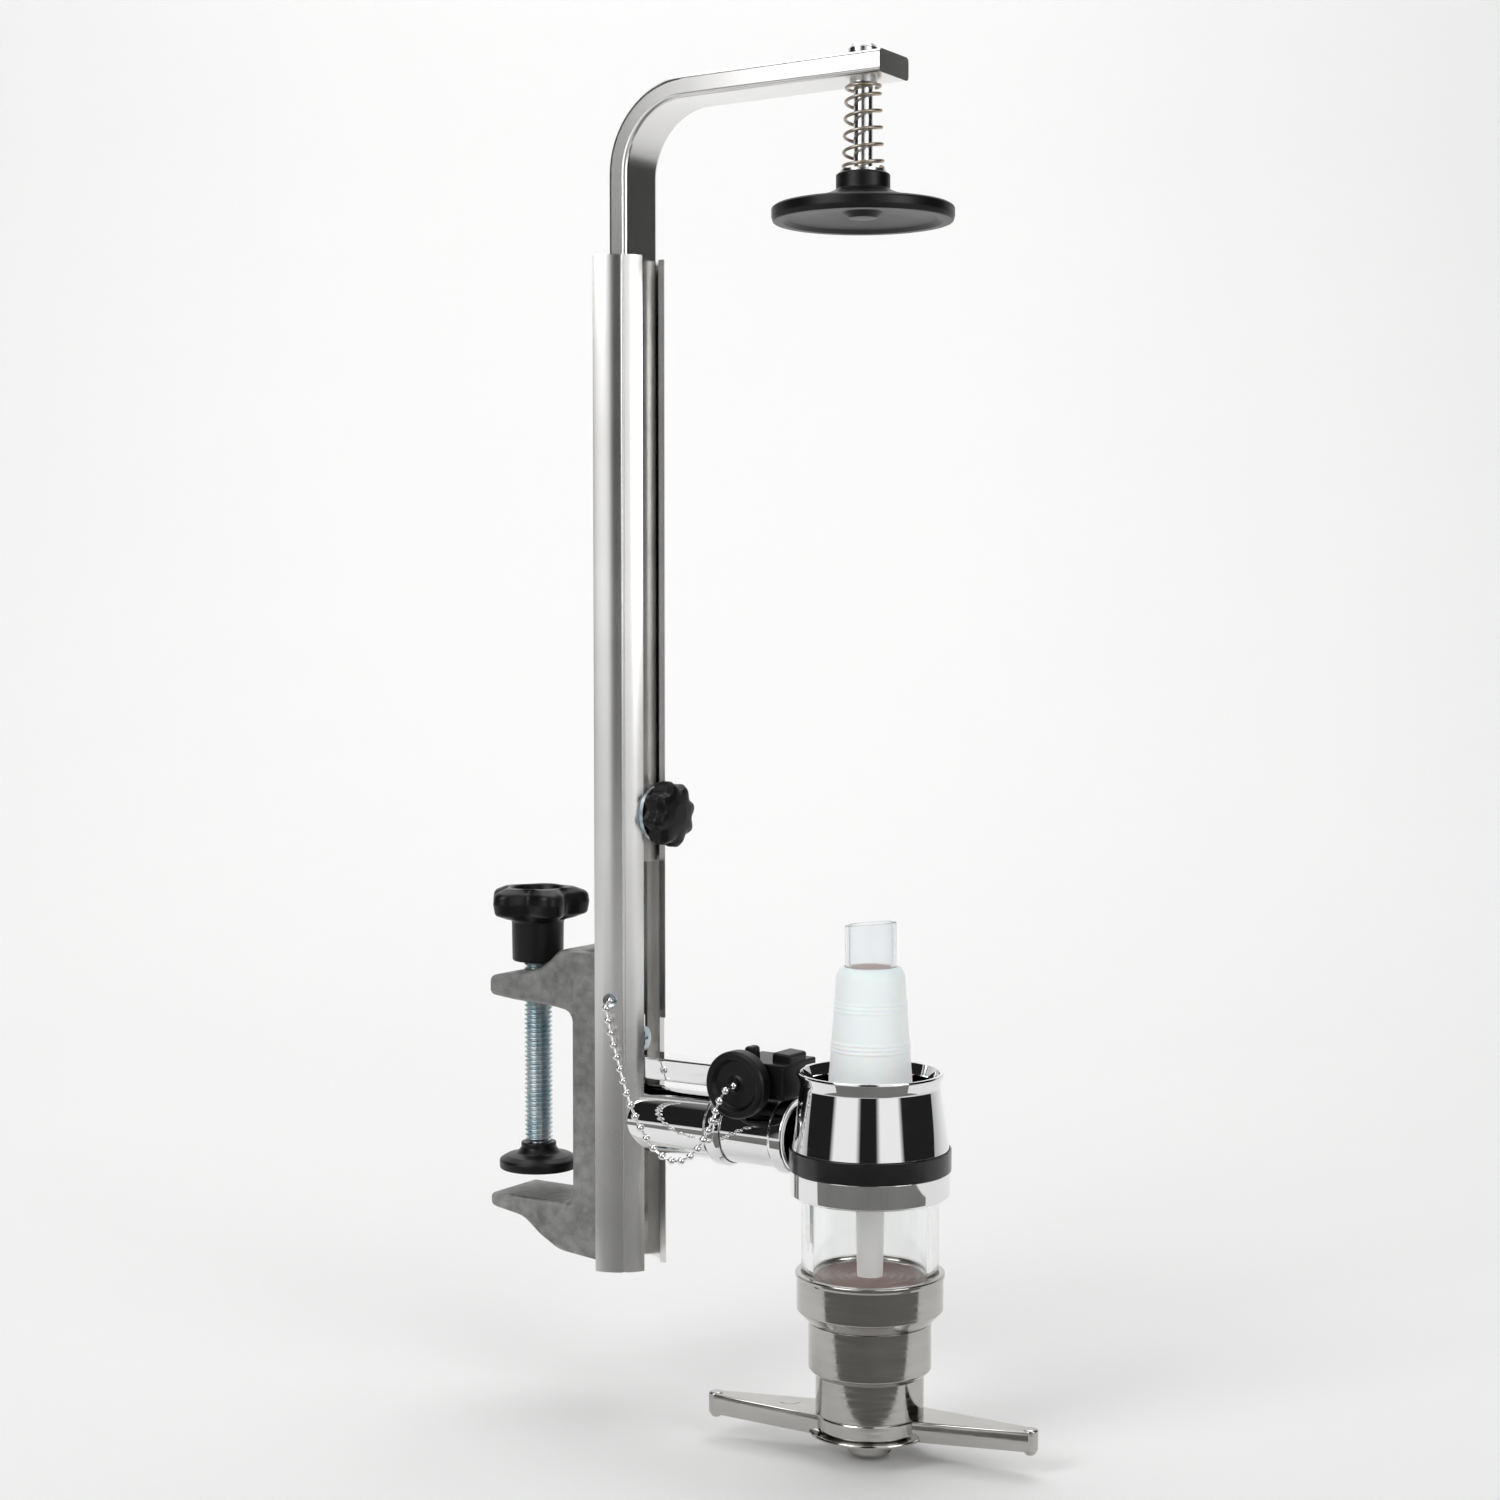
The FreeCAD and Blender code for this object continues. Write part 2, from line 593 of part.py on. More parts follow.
def make_press_spring():
    seat_top = arm_under - d.bush_flange
    seat_low = d.plate_hub_top + d.running
    washer = ring("spring_washer", d.rod_radius + d.running, d.plate_hub_radius - 1.4,
                  seat_low, seat_low + 0.8)
    finish(place(washer, press_x), "spring_washer")
    spring = coil("press_spring", d.spring_radius, d.spring_wire,
                  seat_low + 0.8 + d.running, seat_top - d.running, 4.5)
    finish(place(spring, press_x), "press_spring")


# ---------------------------------------------------------------- holder
bar_back = d.rail_back + d.rail_web
collar_radius = d.tube_radius + d.collar_rise
bar_under = d.bar_top - d.bar_deep


def make_holder_bar():
    """Chromed flat bar: a short leg in the rail and a long one over the tube."""
    front = bar_back + d.bar_thick
    points = [(bar_back, bar_under), (d.bar_end, bar_under), (d.bar_end, d.bar_top),
              (front, d.bar_top), (front, d.bar_leg_top), (bar_back, d.bar_leg_top)]
    body = padded("bent_bar", "XZ_Plane", points, d.bar_width, 0, True)
    round_edges(body, 2, edge_at(bar_back, bar_under))
    side = d.bar_width.value / 2

    def long_edge(edge):
        box = edge.BoundBox
        return abs(abs(box.Center.y) - side) < 0.01 and edge.Length > 6
    round_edges(body, 0.6, long_edge)
    hole = rod(d.bar_screw_radius + d.running, d.bar_thick + 2, bar_back - 1, 0,
               d.bar_screw_height, TURN_TO_X)
    finish(cut(body, hole), "holder_bar")


def pipe(inner, outer, low_x, high_x, label):
    """A tube or ring about the holder tube's axis."""
    out = rod(outer, high_x - low_x, low_x, 0, d.tube_axis, TURN_TO_X)
    hole = rod(inner, high_x - low_x + 2, low_x - 1, 0, d.tube_axis, TURN_TO_X)
    finish(cut(out, hole), label)


def make_holder_tube():
    start = d.rail_back + d.rail_web + d.running
    pipe(d.tube_radius - d.tube_wall, d.tube_radius, start, d.tube_end, "holder_tube")
    pipe(d.tube_radius + d.running / 2, collar_radius, d.collar_from, d.collar_to,
         "tube_collar")
    pipe(d.tube_radius + d.running / 2, collar_radius, d.clip_from, d.tube_end, "tube_clip")


def make_latch():
    """Moulded latch block over the tube, with the bore for its plug."""
    low, high = d.latch_from, d.latch_to
    points = [(low, d.latch_bottom), (high, d.latch_bottom), (high, d.latch_tab_top - 0.6),
              (high - 0.8, d.latch_tab_top), (high - 7.2, d.latch_tab_top),
              (high - 8.4, d.latch_top), (low + 12.6, d.latch_top),
              (low + 9.8, d.latch_bump_top), (low + 5, d.latch_bump_top), (low, d.latch_top)]
    depth = d.latch_front + d.latch_back
    body = padded("latch_body", "XZ_Plane", points, depth, -d.latch_back)
    bore = rod(d.plug_pin_radius + d.running, depth + 2, d.plug_x, -d.latch_front - 1,
               d.plug_z, TURN_TO_Y)
    socket = block((low - 1, -d.bar_width / 2 - d.running, bar_under - d.running),
                   (d.bar_end + 0.1, d.bar_width / 2 + d.running, d.bar_top + d.running))
    side_cut_low = block((high - 9, d.latch_back - 5, d.latch_top),
                         (high + 1, d.latch_back + 1, d.latch_tab_top + 1))
    side_cut = block((low - 1, -d.latch_front - 1, d.latch_top),
                     (high + 1, -d.latch_front + 4, d.latch_bump_top + 1))
    saddle = rod(collar_radius, d.tube_end - d.clip_from + 2, d.clip_from - 0.4, 0,
                 d.tube_axis, TURN_TO_X)
    finish(cut(body, bore, socket, side_cut_low, side_cut, saddle), "latch_block")


def make_plug():
    """Round plug with a dished head; its pin goes through the latch block."""
    head = d.plug_head
    points = [(0, head - d.plug_dish), (d.plug_dish_radius, head - d.plug_dish),
              (d.plug_dish_radius + 1, head), (d.plug_radius - 1, head),
              (d.plug_radius, head - 1), (d.plug_radius, 0.8), (d.plug_radius - 0.8, 0),
              (d.plug_pin_radius, 0), (d.plug_pin_radius, 1 - d.plug_pin),
              (d.plug_pin_radius - 1, -d.plug_pin), (0, -d.plug_pin)]
    body = turned("plug", points)
    turn = FreeCAD.Rotation(Vector(1, 0, 0), 90)
    finish(place(body, d.plug_x, -d.latch_front - d.plug_gap, d.plug_z, turn), "latch_plug")


# ---------------------------------------------------------------- ball chain
CHAIN_ROUTE = [
    (40.2, -12.5, 70.2), (40.2, -16.9, 70.2), (41.5, -17.0, 64.6), (43.4, -17.3, 58.2),
    (46.6, -17.6, 49.2), (50.2, -17.8, 38.8), (55.4, -18.0, 29.2), (62.2, -18.2, 22.1),
    (70.4, -18.6, 20.2), (77.7, -19.0, 24.8), (82.8, -19.8, 32.4), (85.9, -21.2, 38.0),
    (88.6, -22.2, 43.2), (91.2, -22.0, 47.6), (91.2, -16.4, 47.6)]
BEND_SHARE = 0.45


def corner_arc(before, corner, after):
    """The arc that rounds a corner, as its first, middle and last points, and radius."""
    back = (before - corner)
    ahead = (after - corner)
    shorter = min(back.Length, ahead.Length)
    back.normalize()
    ahead.normalize()
    turn = math.pi - back.getAngle(ahead)
    radius = BEND_SHARE * shorter / math.tan(turn / 2)
    step = BEND_SHARE * shorter
    first = corner + back * step
    last = corner + ahead * step
    inward = (back + ahead).normalize()
    middle = corner + inward * (radius / math.cos(turn / 2) - radius)
    return first, middle, last, radius


def make_chain():
    """The chain as a plain tube along its route of straight runs and tangent arcs."""
    route = [Vector(*point) for point in CHAIN_ROUTE]
    edges = []
    start = route[0]
    radii = []
    for before, corner, after in zip(route, route[1:], route[2:]):
        first, middle, last, radius = corner_arc(before, corner, after)
        edges.append(Part.LineSegment(start, first).toShape())
        edges.append(Part.Arc(first, middle, last).toShape())
        radii.append(round(radius, 1))
        start = last
    edges.append(Part.LineSegment(start, route[-1]).toShape())
    path = Part.Wire(edges)
    bead = d.chain_bead.value / 2
    section = Part.Wire(Part.Circle(route[0], route[1] - route[0], bead).toShape())
    shape = path.makePipeShell([section], True, True)
    expected = math.pi * bead ** 2 * path.Length
    print("chain length", round(path.Length, 1), "bend radii", radii)
    print("chain volume", round(shape.Volume, 1), "section times length", round(expected, 1))
    chain = doc.addObject("Part::Feature", "ball_chain")
    chain.Shape = shape
    finish(chain, "ball_chain")


def make_ferrule():
    """Flanged ferrule pressed into the rail's side from inside, where the chain ends."""
    x = d.rail_back + d.chain_hole_x
    face = Vector(*CHAIN_ROUTE[0]).y
    shank = rod(d.chain_hole_radius - d.running, d.ferrule_shank, x, face, d.chain_hole_z,
                TURN_TO_Y)
    flange = rod(d.ferrule_flange_radius, d.ferrule_flange, x, face + d.ferrule_shank,
                 d.chain_hole_z, TURN_TO_Y)

    finish(fuse(shank, flange), "chain_ferrule")


# ---------------------------------------------------------------- spirit measure
def on_measure(body, label):
    finish(place(body, measure_x), label)


def make_ring_cup():
    """Flared chrome cup round the cone, with the spigot that plugs into the tube."""
    wall = d.cup_wall
    points = [(0, d.band_bottom), (d.band_seat_radius, d.band_bottom),
              (d.band_seat_radius, d.band_top), (d.cup_base_radius, d.band_top),
              (d.cup_neck_radius, d.cup_neck), (d.cup_rim_radius, d.cup_rim - 0.6),
              (d.cup_rim_radius - 0.5, d.cup_rim), (0, d.cup_rim)]
    solid = place(turned("cup_outside", points), measure_x)
    inside = [(0, d.band_bottom - 1), (d.band_seat_radius - wall, d.band_bottom - 1),
              (d.band_seat_radius - wall, d.band_top), (d.cup_neck_radius - wall, d.cup_neck),
              (d.cup_rim_radius - wall + 0.2, d.cup_rim + 0.1), (0, d.cup_rim + 0.1)]
    hollow = place(turned("cup_inside", inside), measure_x)
    spigot_radius = d.tube_radius - d.tube_wall - d.running
    reach = measure_x - d.cup_base_radius + 3
    spigot = rod(spigot_radius, reach - (d.tube_end - d.spigot_length),
                 d.tube_end - d.spigot_length, 0, d.tube_axis, TURN_TO_X)
    clearance = block((d.tube_end - 1, -d.tube_radius, d.band_bottom - 10),
                      (measure_x - 10, d.tube_radius, d.band_bottom))
    band_room = turned("band_room", [
        (d.band_seat_radius, d.band_bottom), (d.band_radius + 0.1, d.band_bottom),
        (d.band_radius + 0.1, d.band_top), (d.band_seat_radius, d.band_top)])
    place(band_room, measure_x)
    finish(cut(fuse(solid, spigot), hollow, clearance, band_room), "ring_cup")


def make_band_and_collar():
    on_measure(ring("trim_band", d.band_seat_radius + 0.02, d.band_radius, d.band_bottom + 0.02,
                    d.band_top - 0.02), "trim_band")
    points = [(d.glass_radius + d.running, d.band_collar_bottom),
              (d.band_collar_radius - 0.8, d.band_collar_bottom),
              (d.band_collar_radius, d.band_collar_bottom + 0.8),
              (d.band_collar_radius, d.band_bottom), (d.glass_radius + d.running, d.band_bottom)]
    on_measure(turned("upper_collar", points), "upper_collar")


def make_glass():
    inner = d.glass_radius - d.glass_wall
    on_measure(ring("glass_cylinder", inner, d.glass_radius, d.glass_bottom, d.glass_top),
               "glass_cylinder")
    on_measure(ring("top_seal", inner - 0.5, d.glass_radius, d.glass_top,
                    d.glass_top + d.seal_thick), "top_seal")
    on_measure(ring("bottom_seal", inner, d.glass_radius, d.glass_bottom - d.seal_thick,
                    d.glass_bottom), "bottom_seal")


def make_lid():
    """Lid of the measuring chamber: it holds the bottle tube and the stem's tube."""
    low = d.glass_top + d.seal_thick
    bore = d.neck_tube_radius + d.running
    points = [(d.stem_tube_radius, low), (d.glass_radius - 0.1, low),
              (d.glass_radius - 0.1, d.band_bottom), (d.lid_radius, d.band_bottom),
              (d.lid_radius, d.lid_top), (bore, d.lid_top), (bore, low + 3),
              (d.stem_tube_radius, low + 3)]
    on_measure(turned("chamber_lid", points), "chamber_lid")
    foot = d.stem_tube_foot
    points = [(d.stem_radius + d.running, d.glass_bottom), (foot, d.glass_bottom),
              (d.stem_tube_radius, low), (d.stem_tube_radius, low + 3),
              (d.stem_radius + d.running, low + 3)]
    on_measure(turned("stem_tube", points), "stem_tube")


def make_cone():
    """Silicone cone for the bottle neck, with two sets of three fine ribs."""
    bore = d.neck_tube_radius + d.running
    slope = (d.cone_low_radius - d.cone_top_radius) / (d.cone_top - d.cone_low)

    def radius_at(height):
        return d.cone_low_radius - slope * (height - d.cone_low)
    points = [(bore, d.lid_top), (d.cone_base_radius, d.lid_top),
              (d.cone_low_radius, d.cone_low)]
    for start in (d.cone_rib_low, d.cone_rib_high):
        for n in range(3):
            foot = start + d.cone_rib_pitch * n
            crest = foot + d.cone_rib_pitch / 2
            points.append((radius_at(foot), foot))
            points.append((radius_at(crest) + d.cone_rib, crest))
    end = d.cone_rib_high + d.cone_rib_pitch * 3
    points.append((radius_at(end), end))
    points += [(d.cone_top_radius, d.cone_top), (d.cone_top_radius - 1.0, d.cone_crown - 0.6),
               (d.cone_top_radius - 2.0, d.cone_crown), (bore, d.cone_crown)]
    on_measure(turned("stopper_cone", points), "stopper_cone")


def make_neck_tube():
    """Clear tube through the cone, cut slantwise at its top."""
    low = d.glass_top + d.seal_thick + 3
    tube = ring("long_tube", d.neck_tube_radius - d.neck_tube_wall, d.neck_tube_radius,
                low, d.neck_tube_top + 2)
    place(tube, measure_x)
    turn = FreeCAD.Rotation(Vector(0, 1, 0), -d.neck_tube_slant.value)
    knife = rod(30, 30, measure_x, 0, d.neck_tube_top - 0.8, turn)
    finish(cut(tube, knife), "neck_tube")


def make_base_cup():
    """Chrome cup under the glass; its floor guides the stem."""
    bore = d.stem_radius + d.running
    seat = d.glass_bottom - d.seal_thick
    floor = seat - d.base_floor
    inner = d.glass_radius + d.running
    skirt = d.housing_radius - 1
    points = [(bore, seat), (inner, seat), (inner, d.base_top), (d.base_lip_radius, d.base_top),
              (d.base_lip_radius, d.base_top - d.base_lip),
              (d.base_radius, d.base_top - d.base_lip - 0.6), (d.base_radius, d.base_shoulder),
              (d.housing_radius + 0.2, d.base_bottom), (skirt, d.base_bottom),
              (skirt, floor), (bore, floor)]
    on_measure(turned("base_cup", points), "base_cup")


def make_membrane():
    """Ribbed silicone washer on the floor of the measuring chamber."""
    low = d.glass_bottom
    inner = d.stem_tube_foot + 0.3
    outer = d.glass_radius - d.glass_wall - 0.1
    ribs = 6
    pitch = (outer - inner) / (ribs * 2)
    points = [(inner, low), (outer, low)]
    for n in range(ribs):
        points.append((outer - pitch * (2 * n), low + 1.5))
        points.append((outer - pitch * (2 * n + 1), low + 0.9))
    points.append((inner, low + 1.5))
    on_measure(turned("floor_membrane", points), "floor_membrane")


def make_housing():
    """Lower housing: the sleeve slides up into it."""
    bore = d.sleeve_radius + d.running * 2
    top = d.glass_bottom - d.seal_thick - d.base_floor
    inner_wall = d.housing_radius - 1.05
    low = d.housing_bottom - d.housing_mouth
    points = [(bore, low), (bore + 0.5, low), (d.housing_radius, d.housing_bottom),
              (d.housing_radius, d.base_bottom - 0.05), (inner_wall, d.base_bottom - 0.05),
              (inner_wall, top - 0.05), (bore, top - 0.05)]
    on_measure(turned("lower_housing", points), "lower_housing")


def make_sleeve():
    """Sliding sleeve with a floor and one fine groove."""
    out = d.sleeve_radius
    groove = d.sleeve_groove
    floor = d.sleeve_bottom + d.sleeve_floor
    points = [(d.stem_radius, d.sleeve_bottom), (out - 0.6, d.sleeve_bottom),
              (out, d.sleeve_bottom + 0.6), (out, groove - 0.3), (out - 0.3, groove),
              (out, groove + 0.3), (out, d.sleeve_top), (out - d.sleeve_wall, d.sleeve_top),
              (out - d.sleeve_wall, floor), (d.stem_radius, floor)]
    on_measure(turned("lift_sleeve", points), "lift_sleeve")


def make_stem():
    """Valve stem, with a rubber ring above the chamber floor and one on its top."""
    low = d.sleeve_bottom - d.lever_sheet - d.dish - d.nut + 0.6
    points = [(0, low), (d.stem_radius, low), (d.stem_radius, d.stem_top - 0.6),
              (d.stem_radius - 0.6, d.stem_top), (0, d.stem_top)]
    on_measure(turned("valve_stem", points), "valve_stem")
    seat = d.sleeve_bottom + d.sleeve_floor
    on_measure(ring("stem_seal", d.stem_radius, d.stem_radius + 2.2, seat, seat + 1.8),
               "stem_seal")


def make_return_spring():
    low = d.sleeve_bottom + d.sleeve_floor + 0.1
    high = d.glass_bottom - d.seal_thick - d.base_floor - 0.1
    on_measure(coil("return_spring", d.return_radius, d.return_wire, low, high, 7),
               "return_spring")


def arm_outline():
    """Half the lever in its own frame: a tapering arm towards +X, straight on one side."""
    tip = d.lever_reach - d.lever_tip_radius
    return [(12, -d.lever_root * 0.62), (tip, -d.lever_tip_radius), (tip, d.lever_tip_radius),
            (12, d.lever_root)]


def make_lever():
    """Two-armed lever: a hub sheet under the sleeve and two raised, skirted arms."""
    under = d.sleeve_bottom - d.lever_sheet
    raised = d.sleeve_bottom + d.lever_arm_height
    hub = rod(d.lever_hub_radius, d.lever_sheet, 0, 0, under)
    wall = d.lever_sheet
    tip_x = d.lever_reach - d.lever_tip_radius
    pieces = [hub]
    hollows = []
    for side, turn in ((1, 0), (-1, 180)):
        spin = FreeCAD.Rotation(UP, turn)
        solid = padded("arm_outside", "XY_Plane", arm_outline(), raised - under, under)
        inner = [(6, -d.lever_root * 0.62 + wall * 0.6),
                 (tip_x - d.lever_tip_radius, -d.lever_tip_radius + wall),
                 (tip_x - d.lever_tip_radius, d.lever_tip_radius - wall),
                 (6, d.lever_root - wall * 1.1)]
        hollow = padded("arm_inside", "XY_Plane", inner, raised - under - wall, under - 0.01)
        tip = turned("arm_tip", [
            (0, under - 1.6), (d.lever_tip_radius - 1.2, under - 1.3),
            (d.lever_tip_radius + 0.1, under), (d.lever_tip_radius + 0.1, raised + 0.1),
            (d.lever_tip_radius - 0.3, raised + 0.4), (0, raised + 0.4)])
        pieces += [place(solid, 0, 0, 0, spin), place(tip, tip_x * side)]
        hollows.append(place(hollow, 0, 0, 0, spin))
    whole = cut(fuse(*pieces[1:]), *hollows)
    whole = fuse(whole, hub)
    room = rod(d.sleeve_radius + d.running, d.lever_arm_height + 5, 0, 0, d.sleeve_bottom)
    bore = rod(d.stem_radius + d.running, d.lever_sheet + 2, 0, 0, under - 1)
    lever = cut(whole, room, bore)
    spin = FreeCAD.Rotation(UP, d.lever_angle.value)
    finish(place(lever, measure_x, 0, 0, spin), "push_lever")


def make_outlet():
    """Dished washer and slotted round nut under the lever."""
    top = d.sleeve_bottom - d.lever_sheet
    low = top - d.dish
    bore = d.stem_radius + d.running
    points = [(bore, low), (d.nut_radius - 0.4, low), (d.dish_radius, top - 0.5),
              (d.dish_radius, top), (bore, top)]
    on_measure(turned("dish_washer", points), "dish_washer")
    points = [(bore, low - d.nut), (d.nut_radius - 1, low - d.nut),
              (d.nut_radius, low - d.nut + 1), (d.nut_radius, low), (bore, low)]
    nut = place(turned("nut_blank", points), measure_x)
    slot = block((measure_x - d.nut_radius - 1, -d.nut_slot / 2, low - d.nut - 1),
                 (measure_x + d.nut_radius + 1, d.nut_slot / 2, low - d.nut + 1.6))
    finish(cut(nut, slot), "outlet_nut")


# ---------------------------------------------------------------- build and write
make_rail()
make_clamp_frame()
make_screws()
make_foot()
make_spindle()
make_handwheel()
make_arm()
make_press_bush()
make_rail_knob()
make_press_rod()
make_press_plate()
make_press_spring()
make_holder_bar()
make_holder_tube()
make_latch()
make_plug()
make_chain()
make_ferrule()
make_ring_cup()
make_band_and_collar()
make_glass()
make_lid()
make_cone()
make_neck_tube()
make_base_cup()
make_membrane()
make_housing()
make_sleeve()
make_stem()
make_return_spring()
make_lever()
make_outlet()
doc.recompute()

for thing in doc.Objects:
    faults = {"Invalid", "Error"} & set(thing.State)
    if faults:
        raise RuntimeError(f"{thing.Label}: {faults}")
for piece in FINISHED:
    if piece.Shape.isNull() or not piece.Shape.isValid() or not piece.Shape.Solids:
        raise RuntimeError(f"{piece.Label} has no valid solid")

os.makedirs("parts", exist_ok=True)
for piece in FINISHED:
    piece.Shape.exportStep(f"parts/{piece.Label}.step")
print(len(FINISHED), "sub-parts written")
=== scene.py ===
# %% [markdown]
# # A bar bottle stand with a push-up spirit measure
#
# A bottle hangs upside down with its neck on a silicone cone. Below the cone is a small
# glass chamber, and pushing up the two-armed lever lets one measure out. A sprung plate on
# a sliding arm holds the bottle's base, and a table clamp carries it all.
#
# The CAD frame gives every piece its place and its motion. This lesson adds what CAD
# leaves out: soft edges, a real screw thread, beads on the chain, and surfaces that
# look like metal, glass, rubber and moulded plastic.

# %% Load the CAD frame
import math

import bmesh
import bpy
from mathutils import Matrix, Vector


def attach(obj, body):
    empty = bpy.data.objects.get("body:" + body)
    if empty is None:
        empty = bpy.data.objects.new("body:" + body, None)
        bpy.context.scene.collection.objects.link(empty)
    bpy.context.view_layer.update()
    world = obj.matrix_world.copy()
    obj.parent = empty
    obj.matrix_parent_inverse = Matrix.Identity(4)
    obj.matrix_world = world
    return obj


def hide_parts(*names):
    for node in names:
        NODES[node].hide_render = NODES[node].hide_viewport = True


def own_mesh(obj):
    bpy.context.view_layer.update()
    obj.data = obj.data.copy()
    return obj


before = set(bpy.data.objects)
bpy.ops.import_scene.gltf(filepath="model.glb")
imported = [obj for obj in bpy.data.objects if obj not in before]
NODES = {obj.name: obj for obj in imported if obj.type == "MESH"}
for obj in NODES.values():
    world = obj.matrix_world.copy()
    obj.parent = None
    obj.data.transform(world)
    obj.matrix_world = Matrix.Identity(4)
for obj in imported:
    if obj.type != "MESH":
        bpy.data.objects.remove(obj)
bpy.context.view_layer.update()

MM = 0.001
MEASURE_X = 131.0
PRESS_X = 127.6
TUBE_Z = 29.9
print(len(NODES), "CAD nodes")

# %% [markdown]
# ## The camera
#
# A long lens from a little above gives the calm product view. The camera looks down by
# three degrees and sees the stand from its front left corner.

# %% Camera
camera = bpy.data.objects.new("camera", bpy.data.cameras.new("camera"))
bpy.context.scene.collection.objects.link(camera)
camera.location = (0.5257, -0.6891, 0.1957)
camera.rotation_euler = (math.radians(87.04), 0, math.radians(32.54))
camera.data.lens = 60.93
camera.data.sensor_width = 36
camera.data.clip_start = 0.01
bpy.context.scene.camera = camera
VIEW_TURN = math.radians(32.54)
print("camera at", [round(v, 3) for v in camera.location])

# %% [markdown]
# ## Helpers for shader maths
#
# A shader is a small calculation at each point of a surface. `Value` wraps a node socket
# so that the calculation can be written as plain arithmetic, and `Finish` makes a
# material with one Principled shader and adds the nodes that feed it.

# %% Socket arithmetic
class Value:
    """A socket that takes part in ordinary arithmetic."""

    def __init__(self, finish, socket):
        self.finish = finish
        self.socket = socket

    def maths(self, operation, *others, clamp=False):
        node = self.finish.tree.nodes.new("ShaderNodeMath")
        node.operation = operation
        node.use_clamp = clamp
        for slot, other in zip(node.inputs, others):
            self.finish.feed(slot, other)
        return Value(self.finish, node.outputs[0])

    def __add__(self, other):
        return self.maths("ADD", self, other)

    def __radd__(self, other):
        return self.maths("ADD", other, self)

    def __sub__(self, other):
        return self.maths("SUBTRACT", self, other)

    def __rsub__(self, other):
        return self.maths("SUBTRACT", other, self)

    def __mul__(self, other):
        return self.maths("MULTIPLY", self, other)

    def __rmul__(self, other):
        return self.maths("MULTIPLY", other, self)

    def above(self, low, high):
        """0 below low, 1 above high, and a straight ramp between."""
        return self.maths("MULTIPLY", self - low, 1 / (high - low), clamp=True)


class Finish:
    """A material with a Principled shader."""

    def __init__(self, name, **constants):
        self.material = bpy.data.materials.new(name)
        self.material.use_nodes = True
        self.tree = self.material.node_tree
        self.shader = self.tree.nodes["Principled BSDF"]
        self.place = self.node("ShaderNodeTexCoord").outputs["Object"]
        for words, value in constants.items():
            self.shader.inputs[words.replace("_", " ")].default_value = value

    def feed(self, slot, value):
        if isinstance(value, Value):
            value = value.socket
        if isinstance(value, bpy.types.NodeSocket):
            self.tree.links.new(value, slot)
        else:
            slot.default_value = value

    def node(self, kind, settings=None, inputs=None):
        node = self.tree.nodes.new(kind)
        for name, value in (settings or {}).items():
            setattr(node, name, value)
        for name, value in (inputs or {}).items():
            self.feed(node.inputs[name], value)
        return node

    def stretched(self, x, y, z):
        """The place on the object, scaled along each axis."""
        node = self.node("ShaderNodeVectorMath", {"operation": "MULTIPLY"})
        self.feed(node.inputs[0], self.place)
        node.inputs[1].default_value = (x, y, z)
        return node.outputs[0]

    def noise(self, scale, detail=3.0, place=None, roughness=0.5):
        node = self.node("ShaderNodeTexNoise", None, {
            "Vector": place or self.place, "Scale": scale, "Detail": detail,
            "Roughness": roughness})
        return Value(self, node.outputs[0])

    def mix(self, share, first, second):
        """A colour between two others."""
        node = self.node("ShaderNodeMix", {"data_type": "RGBA"})
        self.feed(node.inputs[0], share)
        self.feed(node.inputs[6], first)
        self.feed(node.inputs[7], second)
        return node.outputs[2]

    def colour(self, value):
        self.feed(self.shader.inputs["Base Color"], value)
        return self

    def rough(self, value):
        self.feed(self.shader.inputs["Roughness"], value)
        return self

    def bump(self, height, depth_mm, strength=1.0):
        node = self.node("ShaderNodeBump", None, {
            "Height": height, "Strength": strength, "Distance": depth_mm * MM})
        self.feed(self.shader.inputs["Normal"], node.outputs[0])
        return self


# %% [markdown]
# ## The finishes
#
# - The rail and arm are extruded aluminium, etched and anodised. Fine lines run along
#   the extrusion, so the noise is stretched along Z.
# - The clamp frame is a raw die casting: cool grey, mottled, a little pitted.
# - Chrome plate is nearly a mirror, with faint wipe marks and polishing waves. The
#   lower pieces of the measure get a darker, greyer copy of it, a little dull and smeared.
# - The spindle is zinc plated with a blue passivation.
# - Knobs and the latch are black moulded plastic with a soft sheen.
# - The cone is milky silicone, and the chamber is thick glass.

# %% Metals
def aluminium(name, x, y, z):
    """Anodised extrusion, with lines along the axis of the smallest number."""
    made = Finish(name, Metallic=1.0)
    lines = made.noise(1.0, 4.0, made.stretched(x, y, z), 0.6)
    cloud = made.noise(28, 2.0)
    made.colour(made.mix(cloud.above(0.3, 0.7), (0.76, 0.755, 0.74, 1),
                         (0.86, 0.855, 0.845, 1)))
    made.rough(0.2 + 0.05 * lines + 0.04 * cloud)
    return made.bump(lines, 0.006, 0.3)


rail_metal = aluminium("anodised_rail", 2600, 2600, 14)
arm_metal = aluminium("anodised_arm", 1500, 1500, 40)

casting = Finish("die_casting", Metallic=0.85)
mottle = casting.noise(260, 5.0, None, 0.65)
patches = casting.noise(60, 3.0)
scratches = casting.noise(1.0, 2.0, casting.stretched(900, 900, 160))
casting.colour(casting.mix((0.6 * mottle + 0.4 * patches).above(0.36, 0.64),
                           (0.2, 0.2, 0.2, 1), (0.4, 0.4, 0.39, 1)))
casting.rough(0.42 + 0.22 * mottle)
casting.bump(mottle + 0.5 * scratches, 0.16, 0.55)

chrome = Finish("chrome_plate", Metallic=1.0)
wipes = chrome.noise(1.0, 4.0, chrome.stretched(60, 60, 420), 0.6)
waves = chrome.noise(40, 1.0)
chrome.colour(chrome.mix(waves, (0.84, 0.84, 0.845, 1), (0.9, 0.9, 0.9, 1)))
chrome.rough(0.025 + 0.06 * wipes.above(0.5, 0.8))
chrome.bump(waves, 0.12, 0.12)
